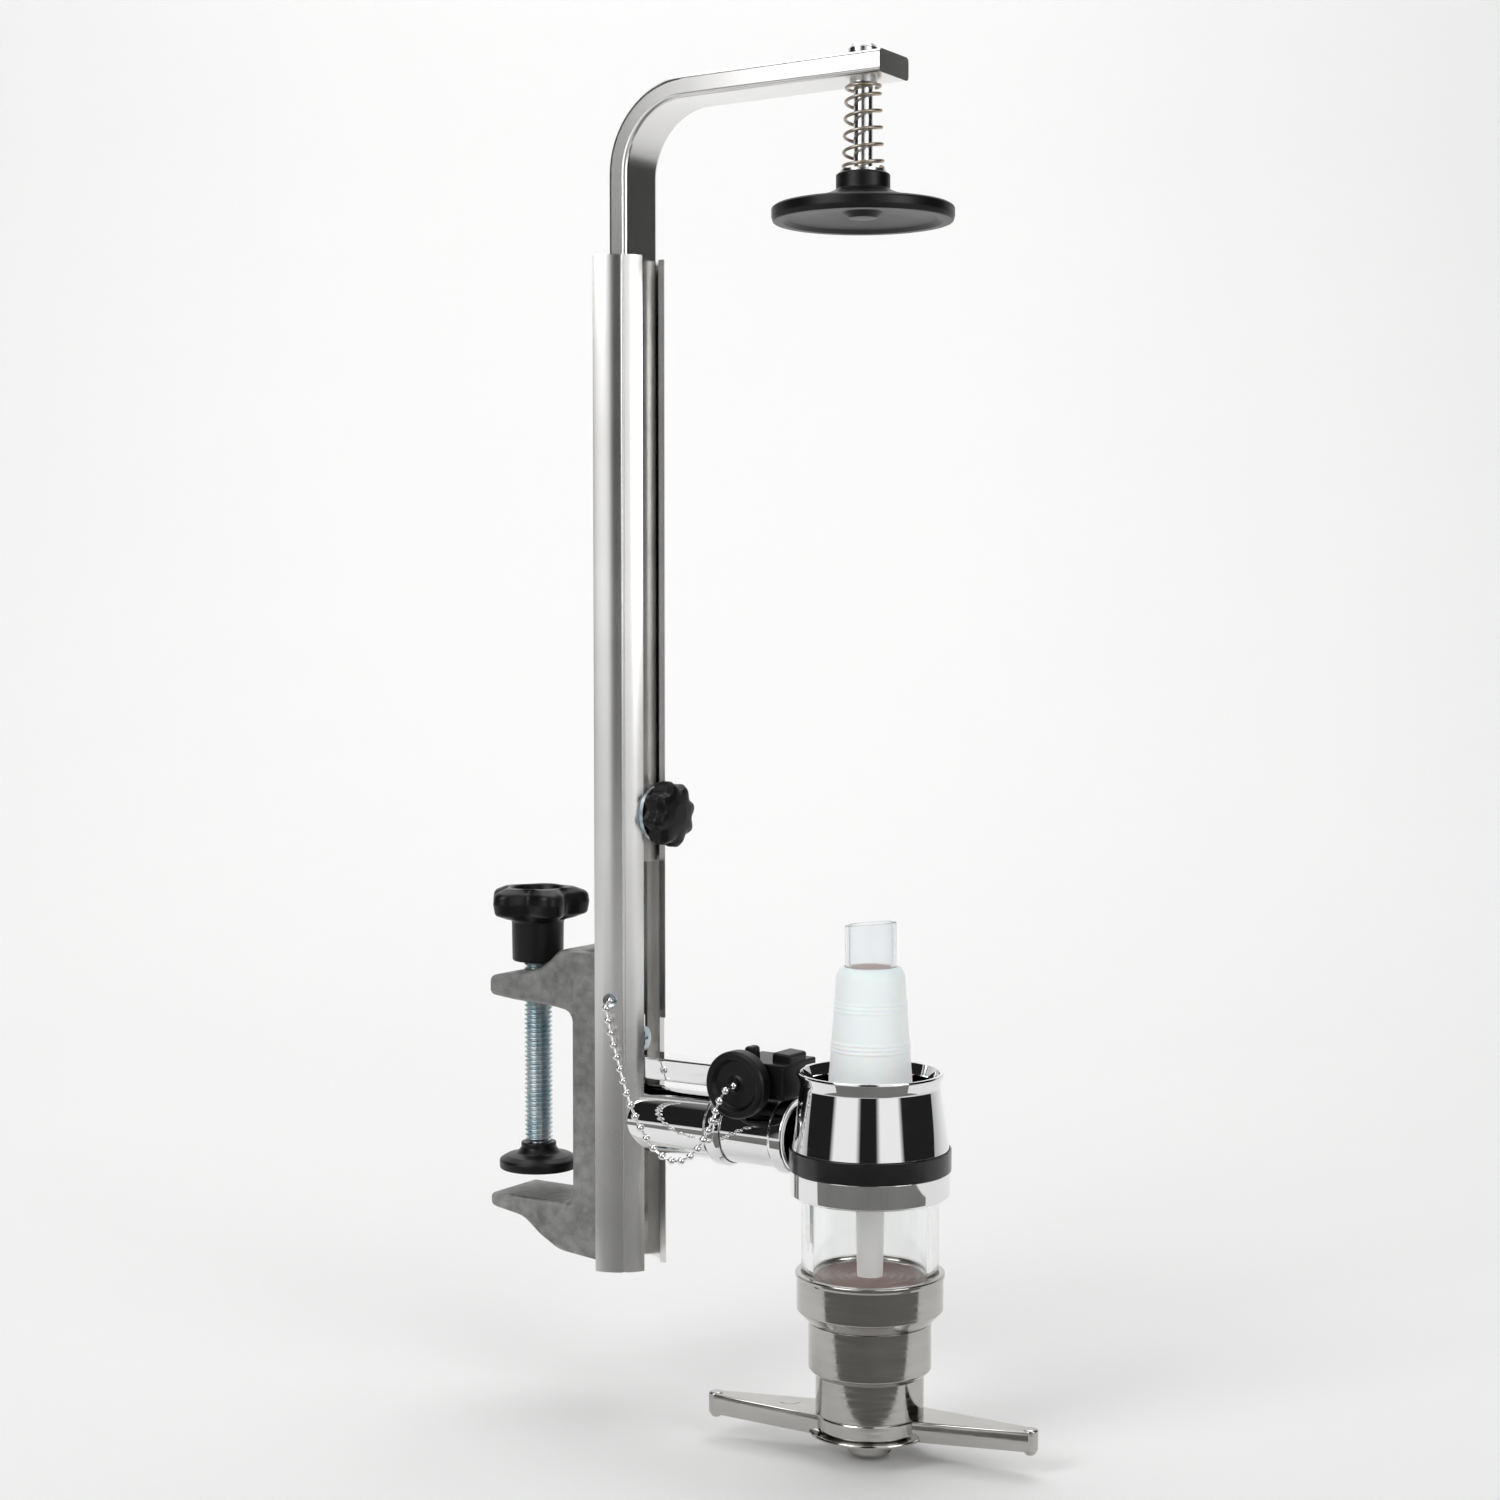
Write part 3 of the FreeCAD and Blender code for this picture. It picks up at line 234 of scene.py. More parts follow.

# A darker, greyer copy of the chrome for the lower pieces of the measure.
darker_chrome = Finish("darker_chrome_with_smears", Metallic=1.0)
rings = darker_chrome.noise(1.0, 5.0, darker_chrome.stretched(90, 90, 900), 0.65)
smears = darker_chrome.noise(1.0, 3.0, darker_chrome.stretched(30, 30, 300), 0.6)
darker_chrome.colour(darker_chrome.mix(smears, (0.40, 0.39, 0.375, 1), (0.56, 0.55, 0.53, 1)))
darker_chrome.rough(0.07 + 0.2 * rings.above(0.4, 0.75))
darker_chrome.bump(smears + 0.3 * rings, 0.1, 0.25)

zinc = Finish("blue_zinc", Metallic=1.0)
zinc_cloud = zinc.noise(130, 4.0, None, 0.6)
zinc.colour(zinc.mix(zinc_cloud.above(0.35, 0.65), (0.42, 0.56, 0.62, 1),
                     (0.72, 0.76, 0.77, 1)))
zinc.rough(0.22 + 0.2 * zinc_cloud)
zinc.bump(zinc.noise(900, 2.0), 0.02, 0.4)

bronze = Finish("spring_wire", Metallic=1.0)
wire_cloud = bronze.noise(300, 3.0)
bronze.colour(bronze.mix(wire_cloud, (0.34, 0.27, 0.21, 1), (0.62, 0.54, 0.45, 1)))
bronze.rough(0.25 + 0.15 * wire_cloud)

bright_steel = Finish("bright_steel", Metallic=1.0)
steel_lines = bright_steel.noise(1.0, 3.0, bright_steel.stretched(120, 120, 1600))
bright_steel.colour(bright_steel.mix(steel_lines, (0.6, 0.6, 0.6, 1), (0.82, 0.82, 0.81, 1)))
bright_steel.rough(0.12 + 0.18 * steel_lines)

# %% Plastics, rubber and glass
def moulded(name, colour, light, low, high, grain):
    """Moulded plastic: a dark or pale body with a fine grain and handling marks."""
    made = Finish(name)
    grains = made.noise(grain, 2.0)
    marks = made.noise(90, 4.0, None, 0.6)
    made.colour(made.mix(marks.above(0.4, 0.75), colour, light))
    made.rough(low + (high - low) * marks)
    return made.bump(grains, 0.02, 0.45)


black_plastic = moulded("black_moulding", (0.003, 0.003, 0.003, 1), (0.006, 0.006, 0.006, 1),
                        0.3, 0.42, 2400)
# A dull sheen, as handled plastic has.
black_plastic.shader.inputs["Specular IOR Level"].default_value = 0.3
band_plastic = moulded("black_band", (0.005, 0.005, 0.005, 1), (0.01, 0.01, 0.01, 1),
                       0.12, 0.26, 1500)
white_plastic = moulded("white_tube", (0.88, 0.87, 0.86, 1), (0.94, 0.94, 0.93, 1),
                        0.3, 0.45, 900)
# A painted glow: the stem shines a little, which lights it where the glass chamber's shadow leaves
# it dark.
white_plastic.shader.inputs["Emission Color"].default_value = (1, 0.99, 0.98, 1)
white_plastic.shader.inputs["Emission Strength"].default_value = 0.22
pink_rubber = moulded("pink_silicone", (0.50, 0.36, 0.33, 1), (0.60, 0.46, 0.42, 1),
                      0.35, 0.5, 700)

# The cone's Emission Strength is a painted glow, which brightens the cone beyond what the lamps give
# it.
silicone = Finish("milky_silicone", Transmission_Weight=0.12, IOR=1.41,
                  Subsurface_Weight=0.5, Subsurface_Scale=0.01,
                  Emission_Color=(1, 0.99, 0.98, 1), Emission_Strength=0.09)
haze = silicone.noise(45, 3.0)
silicone.colour(silicone.mix(haze, (0.92, 0.93, 0.94, 1), (0.97, 0.975, 0.98, 1)))
silicone.rough(0.42 + 0.14 * silicone.noise(400, 3.0))
silicone.bump(silicone.noise(700, 3.0), 0.03, 0.4)

glass = Finish("clear_glass", Transmission_Weight=1.0, IOR=1.48)
draw = glass.noise(1.0, 2.0, glass.stretched(30, 30, 140))
glass.colour(glass.mix(draw, (0.97, 0.985, 0.98, 1), (1, 1, 1, 1)))
glass.rough(0.004 + 0.012 * draw)
glass.bump(draw, 0.05, 0.08)

clear_plastic = Finish("clear_moulding", Transmission_Weight=1.0, IOR=1.47)
cloudy = clear_plastic.noise(120, 3.0)
clear_plastic.colour(clear_plastic.mix(cloudy, (0.93, 0.95, 0.96, 1), (0.98, 0.99, 1, 1)))
clear_plastic.rough(0.05 + 0.08 * cloudy)
clear_plastic.bump(cloudy, 0.05, 0.12)
print(len(bpy.data.materials), "materials")


# %% [markdown]
# ## Helpers for meshes
#
# Most pieces were turned, moulded or drawn, so they have one axis. `turned` spins a
# profile about it, and rounds each corner with an arc, because a real edge is never
# perfectly sharp and it's the small round that catches the light.

# %% Mesh helpers
def piece(name, mesh, finish, body, replaces=()):
    """Put a mesh into the scene and onto its CAD body."""
    thing = bpy.data.objects.new(name, mesh)
    bpy.context.scene.collection.objects.link(thing)
    mesh.materials.clear()
    mesh.materials.append(finish.material)
    mesh.shade_smooth()
    normals = thing.modifiers.new("even_normals", "WEIGHTED_NORMAL")
    normals.keep_sharp = True
    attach(thing, body)
    if replaces:
        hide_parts(*replaces)
    return thing


def rounded(corners, closed=True, steps=4):
    """Points of an outline whose corners (a, b, radius) are rounded with arcs."""
    points = []
    count = len(corners)
    for i, corner in enumerate(corners):
        here = Vector(corner[:2])
        radius = corner[2] if len(corner) > 2 else 0
        if radius == 0 or (not closed and i in (0, count - 1)):
            points.append(here)
            continue
        back = Vector(corners[i - 1][:2]) - here
        ahead = Vector(corners[(i + 1) % count][:2]) - here
        half = back.angle(ahead) / 2
        if half > 1.55:
            points.append(here)
            continue
        reach = min(radius / math.tan(half), 0.49 * back.length, 0.49 * ahead.length)
        radius = reach * math.tan(half)
        start = here + back.normalized() * reach
        end = here + ahead.normalized() * reach
        centre = here + (back.normalized() + ahead.normalized()).normalized() * (
            radius / math.sin(half))
        first = start - centre
        turn = first.angle_signed(end - centre)
        for step in range(steps + 1):
            spin = Matrix.Rotation(-turn * step / steps, 2)
            points.append(centre + spin @ first)
    return points


def axis_frame(axis, centre):
    """The matrix that takes +Z to the named axis and the origin to the centre."""
    turns = {"Z": Matrix.Identity(3), "X": Matrix.Rotation(math.pi / 2, 3, "Y"),
             "-Y": Matrix.Rotation(math.pi / 2, 3, "X")}
    return Matrix.Translation(Vector(centre) * MM) @ turns[axis].to_4x4()


def turned_mesh(name, corners, axis="Z", centre=(0, 0, 0), sides=128, shape=None, closed=True):
    """Spin a profile of (radius, height, round) corners; shape(radius, angle, height) may
    change the radius around the axis."""
    profile = rounded(corners, closed)
    mesh = bpy.data.meshes.new(name)
    shell = bmesh.new()
    rings_made = []
    for radius, height in profile:
        if radius < 1e-6:
            rings_made.append([shell.verts.new((0, 0, height * MM))])
            continue
        ring = []
        for k in range(sides):
            angle = 2 * math.pi * k / sides
            r = shape(radius, angle, height) if shape else radius
            ring.append(shell.verts.new((r * MM * math.cos(angle), r * MM * math.sin(angle),
                                         height * MM)))
        rings_made.append(ring)
    pairs = list(zip(rings_made, rings_made[1:]))
    if closed and len(rings_made[0]) > 1 and len(rings_made[-1]) > 1:
        pairs.append((rings_made[-1], rings_made[0]))
    for low, high in pairs:
        for k in range(sides):
            n = (k + 1) % sides
            if len(low) == 1 and len(high) == 1:
                continue
            if len(low) == 1:
                shell.faces.new((low[0], high[n], high[k]))
            elif len(high) == 1:
                shell.faces.new((low[k], low[n], high[0]))
            else:
                shell.faces.new((low[k], low[n], high[n], high[k]))
    bmesh.ops.recalc_face_normals(shell, faces=shell.faces)
    shell.to_mesh(mesh)
    shell.free()
    mesh.transform(axis_frame(axis, centre))
    return mesh


def turned(name, corners, finish, body, replaces=(), **more):
    return piece(name, turned_mesh(name, corners, **more), finish, body, replaces)


def prism_mesh(name, corners, low, high, plane="XZ", edge=0.5, steps=3):
    """A straight piece with a rounded outline; its long edges get a small round too."""
    outline = rounded(corners, True, 6)
    mesh = bpy.data.meshes.new(name)
    shell = bmesh.new()

    def put(a, b, c):
        spot = (a, c, b) if plane == "XZ" else (a, b, c)
        return shell.verts.new(Vector(spot) * MM)
    faces = [[put(a, b, c) for a, b in outline] for c in (low, high)]
    shell.faces.new(faces[0])
    shell.faces.new(faces[1])
    for k in range(len(outline)):
        n = (k + 1) % len(outline)
        shell.faces.new((faces[0][k], faces[0][n], faces[1][n], faces[1][k]))
    bmesh.ops.recalc_face_normals(shell, faces=shell.faces)
    rims = [e for e in shell.edges if abs(e.calc_face_angle(0)) > 1.2
            and any(len(f.verts) > 4 for f in e.link_faces)]
    if edge:
        bmesh.ops.bevel(shell, geom=rims, offset=edge * MM, segments=steps, affect="EDGES",
                        profile=0.5, clamp_overlap=False)
    shell.to_mesh(mesh)
    shell.free()
    return mesh


def joined(name, meshes):
    """Several meshes as one."""
    shell = bmesh.new()
    for mesh in meshes:
        shell.from_mesh(mesh)
    out = bpy.data.meshes.new(name)
    shell.to_mesh(out)
    shell.free()
    return out


def dressed(names, finish):
    """Give CAD nodes that are shown as they are a finer finish."""
    for name in names:
        mesh = NODES[name].data
        mesh.materials.clear()
        mesh.materials.append(finish.material)


# %% [markdown]
# ## The ball chain
#
# The latch plug is tethered to the rail by a short ball chain, a run of hollow beads on
# dumb-bell wires. The route is a smooth curve through a few chosen points. Beads are
# placed at equal distances along it, with a thin wire between each two.

# %% Ball chain
CHAIN_ROUTE = [
    (0.0402, -0.0125, 0.0702), (0.0402, -0.0169, 0.0702), (0.0415, -0.0170, 0.0646),
    (0.0434, -0.0173, 0.0582), (0.0466, -0.0176, 0.0492), (0.0502, -0.0178, 0.0388),
    (0.0554, -0.0180, 0.0292), (0.0622, -0.0182, 0.0221), (0.0704, -0.0186, 0.0202),
    (0.0777, -0.0190, 0.0248), (0.0828, -0.0198, 0.0324), (0.0859, -0.0212, 0.0380),
    (0.0886, -0.0222, 0.0432), (0.0912, -0.0220, 0.0476), (0.0912, -0.0164, 0.0476)]
BEAD_RADIUS = 0.00128
BEAD_PITCH = 0.0042
LINK_RADIUS = 0.00042
LINK_STEPS = 160


def route_points(points):
    """Points along a smooth curve that the control points shape."""
    data = bpy.data.curves.new("route", "CURVE")
    data.dimensions = "3D"
    data.resolution_u = 24
    spline = data.splines.new("NURBS")
    spline.points.add(len(points) - 1)
    for spot, point in zip(spline.points, points):
        spot.co = (*point, 1)
    spline.order_u = 3
    spline.use_endpoint_u = True
    guide = bpy.data.objects.new("route", data)
    bpy.context.scene.collection.objects.link(guide)
    bpy.context.view_layer.update()
    line = guide.evaluated_get(bpy.context.evaluated_depsgraph_get()).to_mesh()
    found = [vertex.co.copy() for vertex in line.vertices]
    bpy.data.objects.remove(guide)
    return found


def along(line, distance):
    """The point and the direction at a distance along a line."""
    for a, b in zip(line, line[1:]):
        step = (b - a).length
        if distance <= step:
            return a + (b - a) * (distance / step), (b - a).normalized()
        distance -= step
    return line[-1].copy(), (line[-1] - line[-2]).normalized()


chain_line = route_points(CHAIN_ROUTE)
chain_length = sum((b - a).length for a, b in zip(chain_line, chain_line[1:]))
bead_count = round(chain_length / BEAD_PITCH)
chain_shell = bmesh.new()
for n in range(bead_count + 1):
    spot, heading = along(chain_line, BEAD_RADIUS + (chain_length - 2 * BEAD_RADIUS)
                          * n / bead_count)
    bmesh.ops.create_uvsphere(chain_shell, u_segments=20, v_segments=14, radius=BEAD_RADIUS,
                              matrix=Matrix.Translation(spot)
                              @ heading.to_track_quat("Z", "Y").to_matrix().to_4x4())
rings_made = []
for n in range(LINK_STEPS + 1):
    spot, heading = along(chain_line, chain_length * n / LINK_STEPS)
    turn = heading.to_track_quat("Z", "Y").to_matrix()
    ring = [chain_shell.verts.new(spot + turn @ Vector((math.cos(a), math.sin(a), 0))
                                  * LINK_RADIUS)
            for a in (math.pi * k / 4 for k in range(8))]
    rings_made.append(ring)
for low, high in zip(rings_made, rings_made[1:]):
    for k in range(8):
        chain_shell.faces.new((low[k], low[(k + 1) % 8], high[(k + 1) % 8], high[k]))
chain_shell.faces.new(rings_made[0][::-1])
chain_shell.faces.new(rings_made[-1])
chain_mesh = bpy.data.meshes.new("bead_chain")
chain_shell.to_mesh(chain_mesh)
chain_shell.free()
bead_chain = piece("bead_chain", chain_mesh, chrome, "stand", ["ball_chain"])
print("chain", round(chain_length * 1000, 1), "mm with", bead_count + 1, "beads")

# %% [markdown]
# ## The clamp
#
# The frame is one casting. Its outline is drawn from the side and given a generous
# round along both faces. The spindle's thread is one long helical ridge: around the
# axis the ridge climbs by one pitch per turn, which is what the radius below does.

# %% Clamp frame
FRAME_OUTLINE = [
    (-11.5, 0, 1.7), (23.1, 0, 3), (23.1, 64.6, 4.5), (16.1, 65.8, 20), (-2, 66.9, 20),
    (-11.5, 68.0, 2), (-11.5, 74.4, 2.4), (-6, 75.6, 10), (4, 76.8, 10), (10, 78.6, 6),
    (14.2, 81.6, 8), (17.8, 84.9, 4), (22, 86, 10), (34.8, 86), (34.8, -18),
    (17.2, -16.4, 14), (9, -12, 18), (2.5, -6.9, 12), (-11.5, -4.7, 2.2)]
piece("clamp_frame_cast", prism_mesh("clamp_frame_cast", FRAME_OUTLINE, -12.5, 12.5,
                                     edge=1.5, steps=4),
      casting, "stand", ["clamp_frame"])

# %% Spindle with its thread
SPINDLE_RADIUS = 4.8
THREAD_PITCH = 1.5875
THREAD_DEPTH = 0.86
ROWS_PER_PITCH = 10


def thread_radius(radius, angle, height):
    """The radius of a trapezoid thread at a point on the screw."""
    phase = (height / THREAD_PITCH - angle / (2 * math.pi)) % 1.0
    ridge = min(1.0, max(0.0, (abs(phase - 0.5) * 2 - 0.12) / 0.72))
    return radius - THREAD_DEPTH * ridge


SPINDLE_FROM = 17.0
SPINDLE_TO = 88.0
row_count = int((SPINDLE_TO - SPINDLE_FROM) / THREAD_PITCH * ROWS_PER_PITCH)
spindle_rows = [(0, SPINDLE_FROM - 0.05)]
for n in range(row_count + 1):
    height = SPINDLE_FROM + (SPINDLE_TO - SPINDLE_FROM) * n / row_count
    chamfer = max(0.0, 1.0 - (height - SPINDLE_FROM)) * 0.5
    spindle_rows.append((SPINDLE_RADIUS - chamfer, height))
spindle_rows.append((0, SPINDLE_TO + 0.05))
screw_mesh = turned_mesh("screw", spindle_rows, sides=56, shape=thread_radius, closed=False)
tip_mesh = turned_mesh("tip", [(0, 10.3), (3.4, 10.3, 0.4), (3.4, 17.4), (0, 17.4)],
                       closed=False)
piece("threaded_spindle", joined("threaded_spindle", [screw_mesh, tip_mesh]), zinc,
      "spindle", ["clamp_spindle"])

# %% Foot and handwheel
turned("swivel_foot", [
    (0, 7.7), (13.4, 7.7, 0.7), (13.4, 10.9, 1.2), (11.0, 12.2, 1.5), (7.4, 13.0, 2),
    (6.0, 14.8, 1.2), (6.0, 16.7, 0.5), (3.5, 16.7), (3.5, 15.6), (0, 15.6)],
    black_plastic, "foot", ["clamp_foot"], closed=False)


def star(lobes, depth, phase, sharp, from_radius):
    """A radius rule with hollows between the lobes of a hand grip."""
    def rule(radius, angle, height):
        hollow = (0.5 - 0.5 * math.cos(lobes * (angle - phase))) ** sharp
        return radius - depth * hollow * min(1.0, max(0.0, (radius - from_radius) / 4))
    return rule


turned("star_handwheel", [
    (0, 101.7), (8.4, 101.7, 1.2), (8.9, 104.4, 0.8), (12.5, 104.3, 4), (17.2, 102.6, 2.4),
    (17.6, 99.2, 2), (16.9, 95.4, 1.6), (12.5, 93.9, 3), (8.9, 93.2, 1.2), (8.7, 79.1, 0.8),
    (5.2, 79.1), (5.2, 88), (0, 88)],
    black_plastic, "spindle", ["handwheel"], sides=240, closed=False,
    shape=star(5, 5.2, math.radians(38), 1.15, 10.5))
print("clamp pieces made")

# %% [markdown]
# ## Sliding arm, knob and press plate
#
# The knob clamps the arm in the rail. The plate hangs on a sprung rod, so one setting of
# the arm suits bottles of slightly different height. A spring is a helix with closed
# ends.

# %% Knob
KNOB_X = 50.0
KNOB_Z = 131.4
turned("star_knob", [
    (0, 0.3), (3.4, 0.3), (7.2, 0.05, 0.6), (10.4, 0.7, 1.2), (11.2, 3.0, 1.5), (11.2, 6.2, 1.6),
    (9.6, 8.2, 1.6), (6.8, 8.8, 1.4), (3.4, 9.15, 2), (0, 9.15)],
    black_plastic, "knob", ["rail_knob"], axis="X", centre=(KNOB_X, 0, KNOB_Z), sides=240,
    closed=False, shape=star(8, 1.9, math.radians(12), 1.0, 6.2))

# %% Press plate
# The middle of the underside is a small cap, which covers the rod's end and its clip.
turned("moulded_plate", [
    (0, 319.6), (4.4, 319.7, 0.5), (6.4, 321.5, 0.8), (23.0, 319.8, 1), (25.0, 318.6, 0.4),
    (28.0, 318.6, 0.6), (28.5, 320.2, 1.2), (28.5, 322.8, 0.9), (27.4, 323.5, 1.2), (22.0, 324.0, 8),
    (11.5, 327.0, 3.5), (8.45, 328.4, 0.8), (8.45, 333.0, 0.6), (7.6, 333.6, 0.4),
    (3.0, 333.6), (3.0, 320.05), (0, 320.05)],
    black_plastic, "plate", ["press_plate"], centre=(PRESS_X, 0, 0), sides=160, closed=False)
turned("plunger_rod", [
    (0, 320.1), (2.95, 320.1, 0.3), (2.95, 369.4), (4.65, 369.4, 0.2), (4.65, 371.6, 0.5),
    (3.6, 372.9, 0.8), (0, 373.0)],
    bright_steel, "press", ["press_rod"], centre=(PRESS_X, 0, 0), closed=False)


# %% Springs
def coil_mesh(name, low_radius, high_radius, wire, low, high, turns, closed_turns=0.8):
    """A wound wire whose last turns lie flat against each other."""
    mesh = bpy.data.meshes.new(name)
    shell = bmesh.new()
    steps = int(turns * 40)
    free = turns - 2 * closed_turns
    rings_made = []
    for n in range(steps + 1):
        t = turns * n / steps
        lift = (min(t, closed_turns) + max(0, t - turns + closed_turns)) * wire
        rise = (high - low - 2 * closed_turns * wire - wire) * min(1, max(0, (t - closed_turns)
                                                                   / free))
        height = low + wire / 2 + lift + rise
        share = (height - low) / (high - low)
        radius = low_radius + (high_radius - low_radius) * share
        angle = 2 * math.pi * t
        out = Vector((math.cos(angle), math.sin(angle), 0))
        centre = out * radius + Vector((0, 0, height))
        rings_made.append([shell.verts.new((centre + (out * math.cos(a) + Vector((0, 0, 1))
                                            * math.sin(a)) * wire / 2) * MM)
                           for a in (math.pi * k / 5 for k in range(10))])
    for low_ring, high_ring in zip(rings_made, rings_made[1:]):
        for k in range(10):
            shell.faces.new((low_ring[k], low_ring[(k + 1) % 10], high_ring[(k + 1) % 10],
                             high_ring[k]))
    shell.faces.new(rings_made[0])
    shell.faces.new(rings_made[-1])
    bmesh.ops.recalc_face_normals(shell, faces=shell.faces)
    shell.to_mesh(mesh)
    shell.free()
    return mesh


press_coil = coil_mesh("press_coil", 6.25, 5.2, 1.05, 334.5, 360.9, 6.2)
press_coil.transform(Matrix.Translation((PRESS_X * MM, 0, 0)))
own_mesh(piece("press_coil", press_coil, bronze, "arm", ["press_spring"]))
lift_coil = coil_mesh("lift_coil", 12.0, 12.0, 1.3, -58.0, -16.7, 8)
lift_coil.transform(Matrix.Translation((MEASURE_X * MM, 0, 0)))
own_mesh(piece("lift_coil", lift_coil, bright_steel, "stand", ["return_spring"]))
print("arm pieces made")

# %% [markdown]
# ## The holder and its latch
#
# The chromed tube carries the measure. A moulded latch sits on the bar above it, and its
# round plug has a dished face where the chain is fixed.

# %% Tube and its rings
def along_tube(name, corners, replaces):
    return turned(name, corners, chrome, "stand", replaces, axis="X", centre=(0, 0, TUBE_Z),
                  sides=160)


along_tube("carrier_tube", [(9.5, 36.7), (11.0, 36.7), (11.0, 104.8, 0.3), (9.5, 104.8)],
           ["holder_tube"])
along_tube("tube_ring", [(11.02, 75.1), (11.6, 75.0, 0.2), (12.4, 76.4, 1.2), (12.4, 79.8, 1.2),
                         (11.6, 81.2, 0.2), (11.02, 81.1)], ["tube_collar"])
along_tube("tube_end_ring", [(11.02, 99.9), (12.0, 99.9, 0.3), (12.4, 101.0, 0.8),
                             (12.4, 105.0, 0.4), (11.02, 105.0)], ["tube_clip"])

# %% Latch block and plug
LATCH_OUTLINE = [
    (81.8, 42.8, 0.6), (99.4, 42.8, 0.4), (105.7, 42.8, 0.6), (105.7, 54.4, 0.6),
    (102.4, 54.4, 0.3), (92.6, 54.4, 1.4), (85.4, 54.4, 1.4), (81.8, 52.4, 1.2)]
TAB_OUTLINE = [(98.4, 50, 0), (105.2, 50, 0), (105.5, 57.0, 1.0), (98.8, 57.5, 1.0)]
BUMP_OUTLINE = [(86.6, 50, 0), (92.2, 50, 0), (91.5, 58.4, 1.2), (88.6, 58.5, 1.2)]
latch_parts = [
    prism_mesh("block", LATCH_OUTLINE, -11.3, 8.9, edge=0.55),
    prism_mesh("tab", TAB_OUTLINE, -7.0, 3.6, edge=0.7),
    prism_mesh("bump", BUMP_OUTLINE, -7.2, -2.4, edge=0.7)]
piece("latch_moulding", joined("latch_moulding", latch_parts), black_plastic, "stand",
      ["latch_block"])
turned("dished_plug", [
    (0, 4.4), (1.6, 4.4, 0.3), (2.3, 5.0, 0.4), (3.2, 4.5, 0.4), (7.4, 4.4, 0.5), (8.4, 5.9, 0.5),
    (10.3, 5.95, 0.7), (10.9, 5.0, 0.8), (10.9, 1.0, 0.6), (10.0, 0, 0.4), (4.0, 0),
    (4.0, -16.6), (3.2, -17.5), (0, -17.5)],
    black_plastic, "plug", ["latch_plug"], axis="-Y", centre=(91.2, -12.0, 47.6), closed=False)
print("holder pieces made")

# %% [markdown]
# ## The measure
#
# Every part of the measure is turned about one upright axis. Its chrome parts have tiny
# rounds at their steps, which show as bright lines. The glass needs its real wall
# thickness, because its look comes from how the wall bends the light.

# %% Cone and clear tube
def measure(name, corners, finish, body, replaces, **more):
    return turned(name, corners, finish, body, replaces, centre=(MEASURE_X, 0, 0), **more)


CONE_LOW, CONE_LOW_RADIUS = 51.2, 13.15
CONE_HIGH, CONE_HIGH_RADIUS = 84.0, 10.8
RIB_PITCH = 1.25
RIB_RISE = 0.28


def cone_radius(height):
    """The cone's radius at a height on its straight taper."""
    slope = (CONE_LOW_RADIUS - CONE_HIGH_RADIUS) / (CONE_HIGH - CONE_LOW)
    return CONE_LOW_RADIUS - slope * (height - CONE_LOW)


cone_profile = [(8.15, 28.0), (13.9, 28.0), (cone_radius(CONE_LOW), CONE_LOW)]
for start in (60.0, 72.6):
    for n in range(3):
        foot = start + RIB_PITCH * n
        cone_profile.append((cone_radius(foot), foot, 0.2))
        cone_profile.append((cone_radius(foot) + RIB_RISE, foot + 0.55, 0.25))
    cone_profile.append((cone_radius(start + 3.75), start + 3.75, 0.3))
cone_profile += [(cone_radius(CONE_HIGH) + 0.05, CONE_HIGH, 2.4), (9.6, 86.5, 1.5),
                 (8.15, 86.8, 0.4)]
measure("silicone_cone", cone_profile, silicone, "stand", ["stopper_cone"], sides=160)

clear_mesh = turned_mesh("clear_tube", [(6.6, 23.6), (8.1, 23.6), (8.1, 100.2, 0.3),
                                        (6.6, 100.2, 0.3)], centre=(MEASURE_X, 0, 0))
SLANT = math.tan(math.radians(5.5))
for vertex in clear_mesh.vertices:
    if vertex.co.z > 0.09:
        vertex.co.z += SLANT * (vertex.co.x - MEASURE_X * MM)
piece("clear_tube", clear_mesh, clear_plastic, "stand", ["neck_tube"])

# %% Upper cup, band and collar
measure("flared_cup", [
    (23.2, 22.5), (24.5, 22.5), (24.6, 29.25), (24.9, 29.3, 0.25), (22.0, 49.4, 3.0),
    (23.2, 52.6, 0.5), (23.1, 53.4, 0.3), (21.9, 53.3, 0.4), (20.7, 49.6, 2.0), (23.1, 29.6)],
    chrome, "stand", ["ring_cup"], sides=192)
measure("plain_band", [(24.62, 22.42), (25.6, 22.42, 0.25), (25.65, 29.26, 0.25),
                       (24.62, 29.26)], band_plastic, "stand", ["trim_band"], sides=192)
measure("glass_collar", [(21.76, 14.3), (24.6, 14.3, 0.5), (25.2, 14.9, 0.5),
                         (25.2, 22.38, 0.2), (21.76, 22.38)],
        chrome, "stand", ["upper_collar"], sides=192)

# %% Glass chamber and what shows through it
measure("glass_chamber", [(18.1, -12.4, 0.3), (21.7, -12.4, 0.3), (21.7, 20.0, 0.3),
                          (18.1, 20.0, 0.3)], glass, "stand", ["glass_cylinder"], sides=256)
measure("stem_guide", [(3.05, -12.4), (4.05, -12.4, 0.1), (4.6, 11.0), (5.1, 11.6, 0.3),
                       (5.1, 13.0, 0.3), (4.6, 13.6), (4.6, 23.5), (3.05, 23.5)],
        white_plastic, "stand", ["stem_tube"])
measure("ribbed_floor", [
    (4.4, -12.4), (17.9, -12.4), (17.9, -11.0, 0.3), (16.8, -11.6, 0.3), (15.7, -10.95, 0.3),
    (14.4, -11.6, 0.3), (13.2, -10.95, 0.3), (11.9, -11.6, 0.3), (10.6, -10.95, 0.3),
    (9.3, -11.6, 0.3), (8.0, -10.95, 0.3), (6.6, -11.6, 0.3), (5.2, -10.95, 0.3), (4.4, -11.1)],
    pink_rubber, "stand", ["floor_membrane"])

